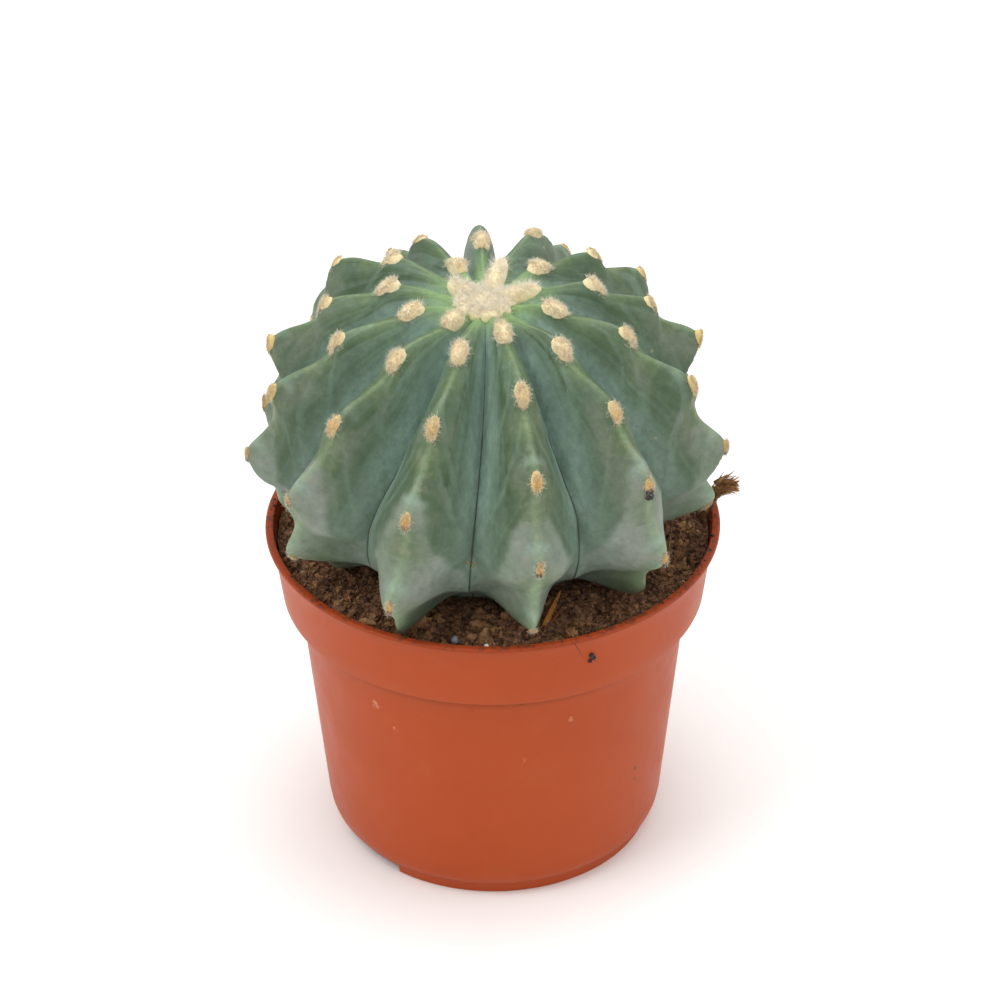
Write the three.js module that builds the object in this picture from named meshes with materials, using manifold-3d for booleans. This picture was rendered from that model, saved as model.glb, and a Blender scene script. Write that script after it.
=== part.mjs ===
// A round, ribbed barrel cactus with woolly areoles, growing in peat in a 12 cm plastic nursery pot.
// Millimetres, +Z up. The origin is the middle of the pot's foot, on the surface that it stands on.
// The front is -Y, and an azimuth turns from the front towards +X, seen in degrees.
import * as THREE from "three";
import { mergeVertices } from "three/addons/utils/BufferGeometryUtils.js";
import Module from "manifold-3d";

// ---------- pot: thin injection-moulded nursery pot ----------
const POT_HEIGHT = 92;
const POT_SIDES = 60;
const WALL = 0.8;
const LIP_RADIUS = 60; // a 12 cm pot
const LIP_HEIGHT = 1.3;
const LIP_INSIDE = 57.8;
const BAND_TOP_RADIUS = 58.4; // the collar under the lip
const BAND_FOOT_RADIUS = 56;
const BAND_FOOT_HEIGHT = 71.7;
const CONE_TOP_RADIUS = 51.6; // the tapered wall below the collar
const CONE_FOOT_RADIUS = 45.4;
const CONE_FOOT_HEIGHT = 8.9;
const FOOT_RADIUS = 42.2; // the ring that it stands on
const FOOT_RING_WIDTH = 1.2;
const FOOT_RING_HEIGHT = 3.2;
const BASE_UNDERSIDE = 2.8;
const BASE_THICKNESS = 1;
const DRAIN_HOLES = 8;
const DRAIN_HOLE_RADIUS = 3.5;
const DRAIN_HOLE_CIRCLE = 33;
const NOTCH_AZIMUTHS = [-54, 126]; // two drainage notches, opposite each other in the foot ring
const NOTCH_WIDTH = 24;
const NOTCH_HEIGHT = 2.6;
const NOTCH_SLOPE = 0.6; // sideways run of its sloping ends over its height

// ---------- plant ----------
// Each rib: azimuth and sweep of its crest, polar angle of its first areole outside the crown and
// the step to the next, radius at the widest place, how far its toe reaches past the others, how
// far its shoulder rises past the others, and how deep its lower dips are, 1 being the usual depth.
const RIBS = [
  { azimuth: 13, sweep: -2, first: 20.5, step: 20.5, girth: 64, toe: 1, rise: 0, scallop: 1 },
  { azimuth: 42, sweep: 6, first: 32, step: 19.5, girth: 62.5, toe: 3, rise: 0, scallop: 0.5 },
  { azimuth: 73, sweep: 9, first: 21, step: 19, girth: 65, toe: -4.5, rise: 0, scallop: 1.4 },
  { azimuth: 98.5, sweep: -1, first: 30, step: 15.5, girth: 57, toe: 0, rise: 0, scallop: 1 },
  { azimuth: 131, sweep: -1, first: 20.5, step: 19, girth: 60.5, toe: 0, rise: 0, scallop: 1 },
  { azimuth: 158, sweep: -6, first: 16, step: 22.5, girth: 61.5, toe: 0, rise: 0, scallop: 1 },
  { azimuth: 181.5, sweep: 0, first: 26, step: 33, girth: 61.5, toe: 0, rise: 3.5, scallop: 1 },
  { azimuth: 206.5, sweep: 0, first: 17.5, step: 21.5, girth: 61.5, toe: 0, rise: -1.3, scallop: 1 },
  { azimuth: 233.5, sweep: 3, first: 12, step: 19.5, girth: 57.5, toe: 0, rise: 2.5, scallop: 1 },
  { azimuth: 263, sweep: 3, first: 26.5, step: 17, girth: 59.5, toe: -1, rise: 0, scallop: 1 },
  { azimuth: 286.5, sweep: -12, first: 22, step: 19.5, girth: 63.5, toe: -7, rise: 0, scallop: 1 },
  { azimuth: 314, sweep: -15, first: 15.5, step: 20.2, girth: 65.5, toe: -4, rise: 0, scallop: 1.2 },
  { azimuth: 343, sweep: -7, first: 28.5, step: 21, girth: 66, toe: 4, rise: 0, scallop: 1 },
];
const PLANT_AXIS = new THREE.Vector2(-1.7, 1.6); // where the plant stands in the pot
const PLANT_CENTRE_HEIGHT = 110; // polar angles are measured from here, 0 at the crown
const LEAN = 1.6; // degrees, the crown towards the front
const LEAN_PIVOT_HEIGHT = 90;
// Crest and furrow outlines as [radius, height], from the crown, over the shoulder, to the toe and
// back underneath to the neck. The two run through the same stations, one number each.
const CREST_OUTLINE = [
  [0, 157], [7.7, 159], [16.7, 161.3], [29.4, 160.7], [43.7, 153.7], [56.2, 142.4], [62.8, 126.8],
  [65, 110], [59.5, 98], [52.2, 92.2], [48.8, 91], [43.5, 91.4], [38, 91.4], [34, 91], [33.6, 89.2],
];
const FURROW_OUTLINE = [
  [0, 157], [5.5, 156.6], [12.5, 157], [22, 152], [30.5, 141], [38, 132.2], [46.5, 122.5],
  [49.2, 111], [46.2, 101], [40.5, 96.4], [37.8, 94.2], [36.6, 93.2], [35.4, 92.4], [34, 91.4],
  [33.6, 89.2],
];
const FULL_GIRTH = 65; // the girth that the crest outline is drawn for
// Polar angles over which a rib's own girth, toe and rise come in, and the rise goes out again.
const GIRTH_ANGLES = [58, 76];
const TOE_REACH_ANGLES = [84, 100];
const RISE_BEGINS = [28, 46];
const RISE_ENDS = [50, 70];
const TOE_STATION = 9.5;
const UNDERSIDE_STATION = 11;
const NECK_STATION = 13;
const CROWN_ROW_STEP = 0.4; // stations between rings of the surface, crown to toe
const UNDERSIDE_ROW_STEP = 0.75;
// Places across a rib at which it has a line of vertices, -1 and 1 in the furrows, 0 on the crest.
const RIB_COLUMNS = [-1, -0.7, -0.28, 0, 0.28, 0.7];
// The section of a rib, at the crown and below the shoulder.
const SHOULDER_ANGLES = [35, 75]; // polar angles between which the one section passes into the other
const CREST_ROUNDING = [2, 1.35]; // 1 would be a sharp edge
const FLANK_POWER = [1.3, 0.85]; // below 1 the flanks bulge, above 1 they are hollow
const TOE_FLANK_POWER = 3.4;
const SLIM_RIBS = [5, 6, 7]; // the ribs at the back, whose shoulders are narrow fingers
const SLIM_FLANK = 2.4; // added to their flank power
const SLIM_CREST = 1; // added to their crest rounding
const SLIM_BEGINS = [20, 40]; // polar angles over which it comes in, and goes out again
const SLIM_ENDS = [60, 80];
const TOE_ANGLES = [84, 102]; // those over which the section passes into that of the toe
// Between two areoles the crest dips. The dip is deeper lower down: [polar angle, depth].
const DIP_DEPTHS = [[0, 0], [10, 0.5], [25, 2.1], [45, 3.2], [65, 3.6], [85, 5], [100, 5], [125, 0]];
// High up it is deepest right below an areole, lower down near the middle: [polar angle, power].
const DIP_SKEWS = [[30, 0.5], [60, 0.6], [90, 0.85]];
// The swelling between two dips lies a little above its areole on the shoulder, by this share of a
// step, but on two of the ribs at the back it lies below it.
const SWELLING_LEAD = 0.05;
const LATE_SWELLING_LEAD = -0.16;
const LATE_RIBS = [5, 6];
const LEAD_ENDS = [45, 70]; // polar angles between which the lead fades
const DIP_CHEVRON = 12; // degrees by which a dip runs lower in the furrow than on the crest
const CHEVRON_ANGLES = [10, 50];
const DIP_FADE_POWER = 0.8; // how fast a dip fades from the crest to the furrow
const LOWER_DIPS_BEGIN = [60, 75]; // where the depth of a rib's lower dips counts
const LOWER_DIPS_END = [88, 97];
const NECK_RADIUS = 33.6;
const NECK_BOTTOM = 72;

// ---------- wool ----------
const AREOLE_LENGTH = [8, 4.4]; // near the crown, and at the foot
const AREOLE_WIDTH = [4.6, 2.4];
const AREOLE_DEPTH = [4.2, 3.4]; // whole thickness of a pad, more than half of it in the flesh
const AREOLE_SINK = [0.8, 1.1]; // how far the middle of a pad lies below the crest
const AREOLE_LAST_ANGLE = 104;
const PAD_SIDES = 7;
const PAD_RINGS = 4;
const CROWN_WOOL_RADIUS = 7.2;
const CROWN_WOOL_HEIGHT = 2.8;
// The three youngest areoles, which are one with the wool of the crown: rib and polar angle.
const WOOL_ARMS = [{ rib: 3, polar: 14.5 }, { rib: 5, polar: 16 }, { rib: 8, polar: 12 }];
const WOOL_ARM_WIDTH = 5;
const WOOL_ARM_HEIGHT = 4.4;
const WOOL_LIFT = 0.5; // keeps it clear of the sloping flanks of the ribs too

// ---------- peat and what lies in it ----------
const CLEARANCE = 0.3; // between pieces that lie against each other
const PEAT_LEVEL_AT_PLANT = 88.3;
const PEAT_LEVEL_AT_WALL = 87.3;
const PEAT_ROUGHNESS = 0.6;
const PEAT_RINGS = 5;
const PEAT_SIDES = 60;
const FIBRE_TUFT_PATH = [
  [54.4, 3.6, 88.2], [55.8, 3.6, 91], [57.4, 3.8, 93.6], [58.4, 4, 96.6], [59.8, 4.3, 98.6],
  [61.8, 4.6, 98.8],
];
const FIBRE_TUFT_RADIUS = 1;
const FRAYED_FIBRES = 15;
const FRAYED_FIBRE_LENGTH = [2.6, 4.4];
const FRAYED_FIBRE_RADIUS = 0.6;
const STRAW_ENDS = [[13, -44.1], [17.4, -33]];
const STRAW_RISE = 3.2; // height of its far end over the near one, which rests on the peat
const STRAW_WIDTH = 1.3;
const STRAW_THICKNESS = 0.7;
const RANDOM_SEED = 7;

const wasm = await Module();
wasm.setup();

// ---------- helpers ----------
const radians = THREE.MathUtils.degToRad;
const { lerp, smoothstep, seededRandom } = THREE.MathUtils;

// The point at an azimuth and radius round a centre.
function around(centre, azimuth, radius, height) {
  const angle = radians(azimuth);
  return new THREE.Vector3(
    centre.x + radius * Math.sin(angle),
    centre.y - radius * Math.cos(angle),
    height,
  );
}

// A value read off a list of [place, value] pairs, straight between them.
function readOff(pairs, place) {
  const next = pairs.findIndex(([at]) => at >= place);
  if (next === 0) return pairs[0][1];
  if (next < 0) return pairs[pairs.length - 1][1];
  const [a, valueA] = pairs[next - 1];
  const [b, valueB] = pairs[next];
  return lerp(valueA, valueB, (place - a) / (b - a));
}

function solidFrom(geometry) {
  const bare = geometry.clone();
  bare.deleteAttribute("normal");
  bare.deleteAttribute("uv");
  const merged = mergeVertices(bare, 1e-3);
  return new wasm.Manifold(
    new wasm.Mesh({
      numProp: 3,
      vertProperties: merged.attributes.position.array,
      triVerts: new Uint32Array(merged.index.array),
    }),
  );
}

function geometryFrom(solid) {
  const { vertProperties, triVerts } = solid.getMesh();
  const geometry = new THREE.BufferGeometry();
  geometry.setAttribute("position", new THREE.BufferAttribute(vertProperties, 3));
  geometry.setIndex(new THREE.BufferAttribute(triVerts, 1));
  return geometry;
}

function join(geometries) {
  const [first, ...others] = geometries.map(solidFrom);
  return others.reduce((whole, piece) => whole.add(piece), first);
}

// A closed surface from a first point, rings of points that all turn the same way, and a last point.
function ringSurface(firstPoint, rings, lastPoint) {
  const points = [firstPoint, ...rings.flat(), lastPoint];
  const last = points.length - 1;
  const sides = rings[0].length;
  const faces = [];
  for (let side = 0; side < sides; side++) {
    const next = (side + 1) % sides;
    faces.push(0, 1 + side, 1 + next);
    for (let ring = 1; ring < rings.length; ring++) {
      const above = 1 + (ring - 1) * sides;
      const below = 1 + ring * sides;
      faces.push(above + side, below + next, above + next);
      faces.push(above + side, below + side, below + next);
    }
    faces.push(last, last - sides + next, last - sides + side);
  }
  const geometry = new THREE.BufferGeometry().setFromPoints(points);
  geometry.setIndex(faces);
  return geometry;
}

// A solid turned round Z from [radius, height] points.
function turned(profile, sides) {
  const points = profile.map(([radius, height]) => new THREE.Vector2(radius, height));
  return new THREE.LatheGeometry(points, sides).rotateX(Math.PI / 2);
}

// An egg shape of the given length, width and height, lying along one direction with its back
// along another.
function pad(centre, along, outward, length, width, height) {
  const across = new THREE.Vector3().crossVectors(along, outward);
  const placed = new THREE.Matrix4().makeBasis(across, along, outward).setPosition(centre);
  return new THREE.SphereGeometry(0.5, PAD_SIDES, PAD_RINGS)
    .scale(width, length, height)
    .applyMatrix4(placed);
}

// ---------- pot ----------
// Inside of the pot, from the middle of its base up to the lip, as [radius, height].
const POT_INSIDE = [
  [0, BASE_UNDERSIDE + BASE_THICKNESS],
  [CONE_FOOT_RADIUS - WALL - 3, BASE_UNDERSIDE + BASE_THICKNESS],
  [CONE_FOOT_RADIUS - WALL - 0.8, CONE_FOOT_HEIGHT - 3.4],
  [CONE_FOOT_RADIUS - WALL, CONE_FOOT_HEIGHT],
  [CONE_TOP_RADIUS - WALL, BAND_FOOT_HEIGHT + WALL],
  [BAND_FOOT_RADIUS - WALL, BAND_FOOT_HEIGHT + WALL + 0.4],
  [BAND_TOP_RADIUS - WALL, POT_HEIGHT - LIP_HEIGHT],
];

function makePot() {
  const lipRound = LIP_HEIGHT * 0.4;
  const outside = [
    [LIP_INSIDE, POT_HEIGHT - lipRound],
    [LIP_INSIDE + lipRound, POT_HEIGHT],
    [LIP_RADIUS - lipRound, POT_HEIGHT],
    [LIP_RADIUS, POT_HEIGHT - lipRound],
    [LIP_RADIUS - 0.2, POT_HEIGHT - LIP_HEIGHT],
    [BAND_TOP_RADIUS, POT_HEIGHT - LIP_HEIGHT],
    [BAND_FOOT_RADIUS, BAND_FOOT_HEIGHT + 0.8],
    [BAND_FOOT_RADIUS - 0.6, BAND_FOOT_HEIGHT],
    [CONE_TOP_RADIUS, BAND_FOOT_HEIGHT],
    [CONE_FOOT_RADIUS, CONE_FOOT_HEIGHT],
    [CONE_FOOT_RADIUS - 0.5, CONE_FOOT_HEIGHT - 2.6],
    [CONE_FOOT_RADIUS - 1.6, CONE_FOOT_HEIGHT - 4.6],
    [FOOT_RADIUS + 0.5, FOOT_RING_HEIGHT],
    [FOOT_RADIUS, 0],
    [FOOT_RADIUS - FOOT_RING_WIDTH, 0],
    [FOOT_RADIUS - FOOT_RING_WIDTH, BASE_UNDERSIDE],
    [0, BASE_UNDERSIDE],
  ];
  const profile = [...POT_INSIDE, ...outside].reverse();
  let pot = solidFrom(turned(profile, POT_SIDES));
  for (let hole = 0; hole < DRAIN_HOLES; hole++) {
    const azimuth = (360 * hole) / DRAIN_HOLES;
    const place = around({ x: 0, y: 0 }, azimuth, DRAIN_HOLE_CIRCLE, BASE_UNDERSIDE);
    const drill = new THREE.CylinderGeometry(DRAIN_HOLE_RADIUS, DRAIN_HOLE_RADIUS, 4 * BASE_THICKNESS, 16)
      .rotateX(Math.PI / 2)
      .translate(place.x, place.y, place.z);
    pot = pot.subtract(solidFrom(drill));
  }
  for (const azimuth of NOTCH_AZIMUTHS) {
    const slope = NOTCH_HEIGHT * NOTCH_SLOPE;
    const outline = new THREE.Shape();
    outline.moveTo(-NOTCH_WIDTH / 2, -1);
    outline.lineTo(NOTCH_WIDTH / 2, -1);
    outline.lineTo(NOTCH_WIDTH / 2 - slope, NOTCH_HEIGHT);
    outline.lineTo(-NOTCH_WIDTH / 2 + slope, NOTCH_HEIGHT);
    outline.closePath();
    const cutter = new THREE.ExtrudeGeometry(outline, { depth: FOOT_RADIUS, bevelEnabled: false })
      .rotateX(Math.PI / 2)
      .translate(0, -FOOT_RADIUS / 2, 0)
      .rotateZ(radians(azimuth));
    pot = pot.subtract(solidFrom(cutter));
  }
  return geometryFrom(pot);
}

// ---------- plant body ----------
const crestCurve = new THREE.SplineCurve(CREST_OUTLINE.map(([r, z]) => new THREE.Vector2(r, z)));
const furrowCurve = new THREE.SplineCurve(FURROW_OUTLINE.map(([r, z]) => new THREE.Vector2(r, z)));
const LAST_STATION = CREST_OUTLINE.length - 1;

function polarAngle(outlinePoint) {
  return THREE.MathUtils.radToDeg(Math.atan2(outlinePoint.x, outlinePoint.y - PLANT_CENTRE_HEIGHT));
}

function crestAzimuth(index, polar) {
  const turns = Math.floor(index / RIBS.length);
  const rib = RIBS[index - turns * RIBS.length];
  return rib.azimuth + turns * 360 + rib.sweep * (Math.min(radians(polar), 1.9) - 1);
}

// The crest of a rib at a station, before any dip, as a radius and a height.
function crestPoint(rib, station) {
  const point = crestCurve.getPoint(station / LAST_STATION);
  const polar = polarAngle(point);
  const aboveNeck = 1 - smoothstep(station, UNDERSIDE_STATION - 1, NECK_STATION);
  point.x -= (FULL_GIRTH - rib.girth) * smoothstep(polar, ...GIRTH_ANGLES) * aboveNeck;
  point.x += rib.toe * smoothstep(polar, ...TOE_REACH_ANGLES) * aboveNeck;
  point.y += rib.rise * smoothstep(polar, ...RISE_BEGINS) * (1 - smoothstep(polar, ...RISE_ENDS));
  return point;
}

// How far the surface is drawn in at a polar angle by the dips between a rib's areoles.
function dipAt(index, polar) {
  const rib = RIBS[index];
  if (polar < rib.first - rib.step) return 0;
  const fullLead = LATE_RIBS.includes(index) ? LATE_SWELLING_LEAD : SWELLING_LEAD;
  const lead = fullLead * (1 - smoothstep(polar, ...LEAD_ENDS));
  const way = (((polar - rib.first) / rib.step + lead) % 1 + 1) % 1;
  const lowerDips = smoothstep(polar, ...LOWER_DIPS_BEGIN) - smoothstep(polar, ...LOWER_DIPS_END);
  const depth = readOff(DIP_DEPTHS, polar) * lerp(1, rib.scallop, lowerDips);
  return depth * (0.5 - 0.5 * Math.cos(2 * Math.PI * way ** readOff(DIP_SKEWS, polar)));
}

// The whole plant leans, but not its neck, which stands upright in the peat.
function leaned(point, share) {
  const pivot = new THREE.Vector3(PLANT_AXIS.x, PLANT_AXIS.y, LEAN_PIVOT_HEIGHT);
  return point.sub(pivot).applyAxisAngle(new THREE.Vector3(1, 0, 0), radians(LEAN) * share).add(pivot);
}

function bodyPoint(index, across, station) {
  const rib = RIBS[index];
  const crest = crestPoint(rib, station);
  const furrow = furrowCurve.getPoint(station / LAST_STATION);
  const polar = polarAngle(crestCurve.getPoint(station / LAST_STATION));
  const aside = Math.abs(across);
  const neighbour = index + Math.sign(across);
  const furrowAzimuth = (crestAzimuth(index, polar) + crestAzimuth(neighbour, polar)) / 2;
  const azimuth = lerp(crestAzimuth(index, polar), furrowAzimuth, aside);
  const overShoulder = smoothstep(polar, ...SHOULDER_ANGLES);
  const slimSpan = smoothstep(polar, ...SLIM_BEGINS) - smoothstep(polar, ...SLIM_ENDS);
  const slim = SLIM_RIBS.includes(index) ? slimSpan : 0;
  const rounding = lerp(...CREST_ROUNDING, overShoulder) + SLIM_CREST * slim;
  const flankPower = lerp(...FLANK_POWER, overShoulder) + SLIM_FLANK * slim;
  const power = lerp(flankPower, TOE_FLANK_POWER, smoothstep(polar, ...TOE_ANGLES));
  const ridge = (1 - aside ** rounding) ** power;
  const section = furrow.lerp(crest, ridge);
  const chevronPolar = polar - DIP_CHEVRON * aside * smoothstep(polar, ...CHEVRON_ANGLES);
  const underside = 1 - smoothstep(station, TOE_STATION, UNDERSIDE_STATION);
  const dip = dipAt(index, chevronPolar) * (1 - aside) ** DIP_FADE_POWER * underside;
  const radius = section.x - dip * Math.sin(radians(polar));
  const height = section.y - dip * Math.cos(radians(polar));
  return leaned(around(PLANT_AXIS, azimuth, radius, height), station < NECK_STATION ? 1 : 0);
}

// Where a rib's crest has a polar angle: the point, the way down the crest and the way out of it.
function crestPlace(index, polar) {
  let station = 0;
  while (polarAngle(crestCurve.getPoint(station / LAST_STATION)) < polar) station += 0.01;
  const point = bodyPoint(index, 0, station);
  const along = bodyPoint(index, 0, station + 0.1).sub(bodyPoint(index, 0, station - 0.1)).normalize();
  const azimuth = crestAzimuth(index, polar);
  const sideways = new THREE.Vector3(Math.cos(radians(azimuth)), Math.sin(radians(azimuth)), 0);
  const outward = new THREE.Vector3().crossVectors(sideways, along).negate().normalize();
  return { point, along, outward };
}

function makeBodySurface() {
  const stations = [];
  for (let station = CROWN_ROW_STEP; station < TOE_STATION; station += CROWN_ROW_STEP) {
    stations.push(station);
  }
  for (let station = TOE_STATION; station < NECK_STATION; station += UNDERSIDE_ROW_STEP) {
    stations.push(station);
  }
  stations.push(NECK_STATION, LAST_STATION);
  const ringAt = (station) =>
    RIBS.flatMap((rib, index) => RIB_COLUMNS.map((across) => bodyPoint(index, across, station)));
  const neckFoot = ringAt(LAST_STATION).map((point) => point.setZ(NECK_BOTTOM));
  const rings = [...stations.map(ringAt), neckFoot];
  const neckMiddle = new THREE.Vector3(PLANT_AXIS.x, PLANT_AXIS.y, NECK_BOTTOM);
  return ringSurface(bodyPoint(0, 0, 0), rings, neckMiddle);
}

// The woolly areoles, oval pads sunk in the crest, smaller and flatter towards the foot.
function makeAreoles() {
  const areoles = [];
  RIBS.forEach((rib, index) => {
    for (let polar = rib.first; polar < AREOLE_LAST_ANGLE; polar += rib.step) {
      if (WOOL_ARMS.some((arm) => arm.rib === index && arm.polar === polar)) continue;
      const share = smoothstep(polar, 15, AREOLE_LAST_ANGLE);
      const [length, width, depth, sink] = [AREOLE_LENGTH, AREOLE_WIDTH, AREOLE_DEPTH, AREOLE_SINK].map(
        ([top, foot]) => lerp(top, foot, share),
      );
      const { point, along, outward } = crestPlace(index, polar);
      point.addScaledVector(outward, -sink);
      areoles.push(pad(point, along, outward, length, width, depth));
    }
  });
  return areoles;
}

function makeBody() {
  return geometryFrom(join([makeBodySurface(), ...makeAreoles()]));
}

// ---------- wool in the crown ----------
// A star of wool: a round cap over the growing point, and an arm out to each of the youngest areoles.
function makeCrownWool(body) {
  const up = new THREE.Vector3(0, 0, 1);
  const front = new THREE.Vector3(0, -1, 0);
  const crown = bodyPoint(0, 0, 0);
  const diameter = 2 * CROWN_WOOL_RADIUS;
  const pieces = [pad(crown, front, up, diameter, diameter, 2 * CROWN_WOOL_HEIGHT)];
  for (const arm of WOOL_ARMS) {
    const { point } = crestPlace(arm.rib, arm.polar);
    const reach = point.clone().sub(crown);
    const along = reach.clone().normalize();
    const outward = up.clone().addScaledVector(along, -along.z).normalize();
    const middle = crown.clone().addScaledVector(reach, 0.6);
    pieces.push(pad(middle, along, outward, 1.1 * reach.length(), WOOL_ARM_WIDTH, WOOL_ARM_HEIGHT));
  }
  const raisedBody = solidFrom(body.clone().translate(0, 0, WOOL_LIFT));
  return geometryFrom(join(pieces).subtract(raisedBody));
}

// ---------- peat ----------
// Height of the crumbly surface of the peat at a place, from crossing ripples.
function peatHeight(x, y) {
  const outwards = smoothstep(Math.hypot(x, y), NECK_RADIUS, LIP_INSIDE);
  const along = Math.sin(0.9 * x + 0.5 * y);
  const across = Math.sin(0.7 * y - 0.4 * x + 2);
  const ripples = along + across + Math.sin(0.35 * (x - y) + 4);
  return lerp(PEAT_LEVEL_AT_PLANT, PEAT_LEVEL_AT_WALL, outwards) + (PEAT_ROUGHNESS * ripples) / 3;
}

// The filling of the pot, with a plain round hole for the plant's neck.
function makePeat() {
  const pot = { x: 0, y: 0 };
  const azimuths = Array.from({ length: PEAT_SIDES }, (_, side) => (360 * side) / PEAT_SIDES);
  const inset = ([radius, height]) => [radius - CLEARANCE, height + CLEARANCE];
  const walls = POT_INSIDE.slice(1, -1).map(inset);
  const rimRadius = BAND_TOP_RADIUS - WALL - CLEARANCE - 0.6; // the collar tapers on the way down to it
  const holeRadius = NECK_RADIUS + CLEARANCE + 0.05;
  const holeBottom = NECK_BOTTOM - CLEARANCE;
  const surfaceRing = (ring) => {
    const way = ring / PEAT_RINGS;
    const middle = { x: PLANT_AXIS.x * way, y: PLANT_AXIS.y * way };
    return azimuths.map((azimuth) => {
      const point = around(middle, azimuth, lerp(rimRadius, holeRadius, way), 0);
      return point.setZ(peatHeight(point.x, point.y));
    });
  };
  const wallRing = ([radius, height]) => azimuths.map((azimuth) => around(pot, azimuth, radius, height));
  const rings = [
    ...walls.map(wallRing),
    ...Array.from({ length: PEAT_RINGS + 1 }, (_, ring) => surfaceRing(ring)),
    azimuths.map((azimuth) => around(PLANT_AXIS, azimuth, holeRadius, holeBottom)),
  ];
  const bottom = new THREE.Vector3(0, 0, walls[0][1]);
  const holeMiddle = new THREE.Vector3(PLANT_AXIS.x, PLANT_AXIS.y, holeBottom);
  return geometryFrom(solidFrom(ringSurface(holeMiddle, rings.reverse(), bottom)));
}

// ---------- litter ----------
// A twist of peat fibre that lies over the pot's lip, with a frayed end.
function makeFibreTuft() {
  const path = new THREE.CatmullRomCurve3(FIBRE_TUFT_PATH.map((place) => new THREE.Vector3(...place)));
  const section = new THREE.Shape();
  section.absarc(0, 0, FIBRE_TUFT_RADIUS, 0, 2 * Math.PI);
  const strip = new THREE.ExtrudeGeometry(section, { extrudePath: path, steps: 8, curveSegments: 3 });
  const pieces = [strip];
  for (let fibre = 0; fibre < FRAYED_FIBRES; fibre++) {
    const from = path.getPoint(lerp(0.6, 0.92, seededRandom()));
    const length = lerp(...FRAYED_FIBRE_LENGTH, seededRandom());
    const way = new THREE.Vector3(
      lerp(-0.6, 0.9, seededRandom()),
      lerp(-0.8, 0.8, seededRandom()),
      lerp(-0.8, 1, seededRandom()),
    ).normalize();
    const turn = new THREE.Quaternion().setFromUnitVectors(new THREE.Vector3(0, 1, 0), way);
    pieces.push(
      new THREE.ConeGeometry(FRAYED_FIBRE_RADIUS, length, 5)
        .translate(0, length / 2 - 0.6, 0)
        .applyQuaternion(turn)
        .translate(from.x, from.y, from.z),
    );
  }
  return geometryFrom(join(pieces));
}

// A split piece of straw that stands out of the peat at a slant, its broad end down.
function makeStraw() {
  const [from, to] = STRAW_ENDS.map(([x, y]) => new THREE.Vector2(x, y));
  const length = Math.hypot(from.distanceTo(to), STRAW_RISE);
  const outline = new THREE.Shape();
  outline.moveTo(0, -STRAW_WIDTH / 2);
  outline.quadraticCurveTo(length * 0.7, -STRAW_WIDTH / 2, length, 0);
  outline.quadraticCurveTo(length * 0.6, STRAW_WIDTH / 2, 0, STRAW_WIDTH * 0.4);
  outline.closePath();
  const options = { depth: STRAW_THICKNESS, bevelEnabled: false, curveSegments: 5 };
  return new THREE.ExtrudeGeometry(outline, options)
    .rotateY(-Math.asin(STRAW_RISE / length))
    .rotateZ(to.clone().sub(from).angle())
    .translate(from.x, from.y, peatHeight(from.x, from.y) + CLEARANCE);
}

// ---------- the part ----------
function piece(name, geometry, color, roughness) {
  const mesh = new THREE.Mesh(geometry, new THREE.MeshStandardMaterial({ color, roughness, metalness: 0 }));
  mesh.name = name;
  return mesh;
}

seededRandom(RANDOM_SEED);
const body = makeBody();
const cactus = new THREE.Group();
cactus.add(
  piece("pot", makePot(), 0xb45535, 0.45),
  piece("potting_peat", makePeat(), 0x45301f, 0.95),
  piece("cactus_body", body, 0x6b8a75, 0.6),
  piece("crown_wool", makeCrownWool(body), 0xe9dfc0, 0.95),
  piece("fibre_tuft", makeFibreTuft(), 0x7a4e2a, 0.9),
  piece("straw_sliver", makeStraw(), 0xc07a38, 0.7),
);
export default cactus;
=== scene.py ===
# %% [markdown]
# # A round cactus in a nursery pot
#
# The object is a spineless barrel cactus with thirteen sharp ribs and woolly areoles, in peat, in a
# 12 cm plastic nursery pot. The solids of the model are loaded first. They fix every size and place,
# and each finer piece made below stands for one of them or lies on one of them.

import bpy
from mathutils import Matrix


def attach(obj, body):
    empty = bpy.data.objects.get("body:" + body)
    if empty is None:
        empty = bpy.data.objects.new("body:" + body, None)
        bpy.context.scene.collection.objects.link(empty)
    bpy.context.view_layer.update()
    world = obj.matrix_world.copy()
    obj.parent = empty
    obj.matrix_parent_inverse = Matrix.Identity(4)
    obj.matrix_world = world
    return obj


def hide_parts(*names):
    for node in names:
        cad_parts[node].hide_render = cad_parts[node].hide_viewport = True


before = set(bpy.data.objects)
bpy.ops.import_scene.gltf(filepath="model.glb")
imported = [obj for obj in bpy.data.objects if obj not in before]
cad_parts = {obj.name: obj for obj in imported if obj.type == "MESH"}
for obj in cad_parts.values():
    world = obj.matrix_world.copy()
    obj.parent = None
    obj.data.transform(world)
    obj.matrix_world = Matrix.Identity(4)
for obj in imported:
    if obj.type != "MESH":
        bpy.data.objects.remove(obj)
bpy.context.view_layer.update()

# %% [markdown]
# ## Helpers
#
# Sizes are written in millimetres and turned to metres where a mesh is made. An operator works on
# everything that is selected, so the selection is emptied before each new piece. Colours are written
# as the hex values that a screen shows, and Blender's shaders want linear light, so one function
# turns the one into the other. Dirt, wax and age lie over a colour like coats of thin paint, so most
# materials here are a first colour and a list of coats, each with the places that it covers.
# Some coats are painted light and shade, such as a highlight on an edge or shade in a crease.

# %% Helpers for meshes and materials
import math

import bpy
import numpy as np
from mathutils import Matrix, Vector

MM = 0.001


def deselect_all():
    if bpy.context.object and bpy.context.object.mode != "OBJECT":
        bpy.ops.object.mode_set(mode="OBJECT")
    bpy.ops.object.select_all(action="DESELECT")


def points_of(piece):
    flat = np.empty(3 * len(piece.data.vertices))
    piece.data.vertices.foreach_get("co", flat)
    return flat.reshape(-1, 3)


def move_points(piece, points):
    piece.data.vertices.foreach_set("co", np.asarray(points, dtype=float).ravel())
    piece.data.update()


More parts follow.
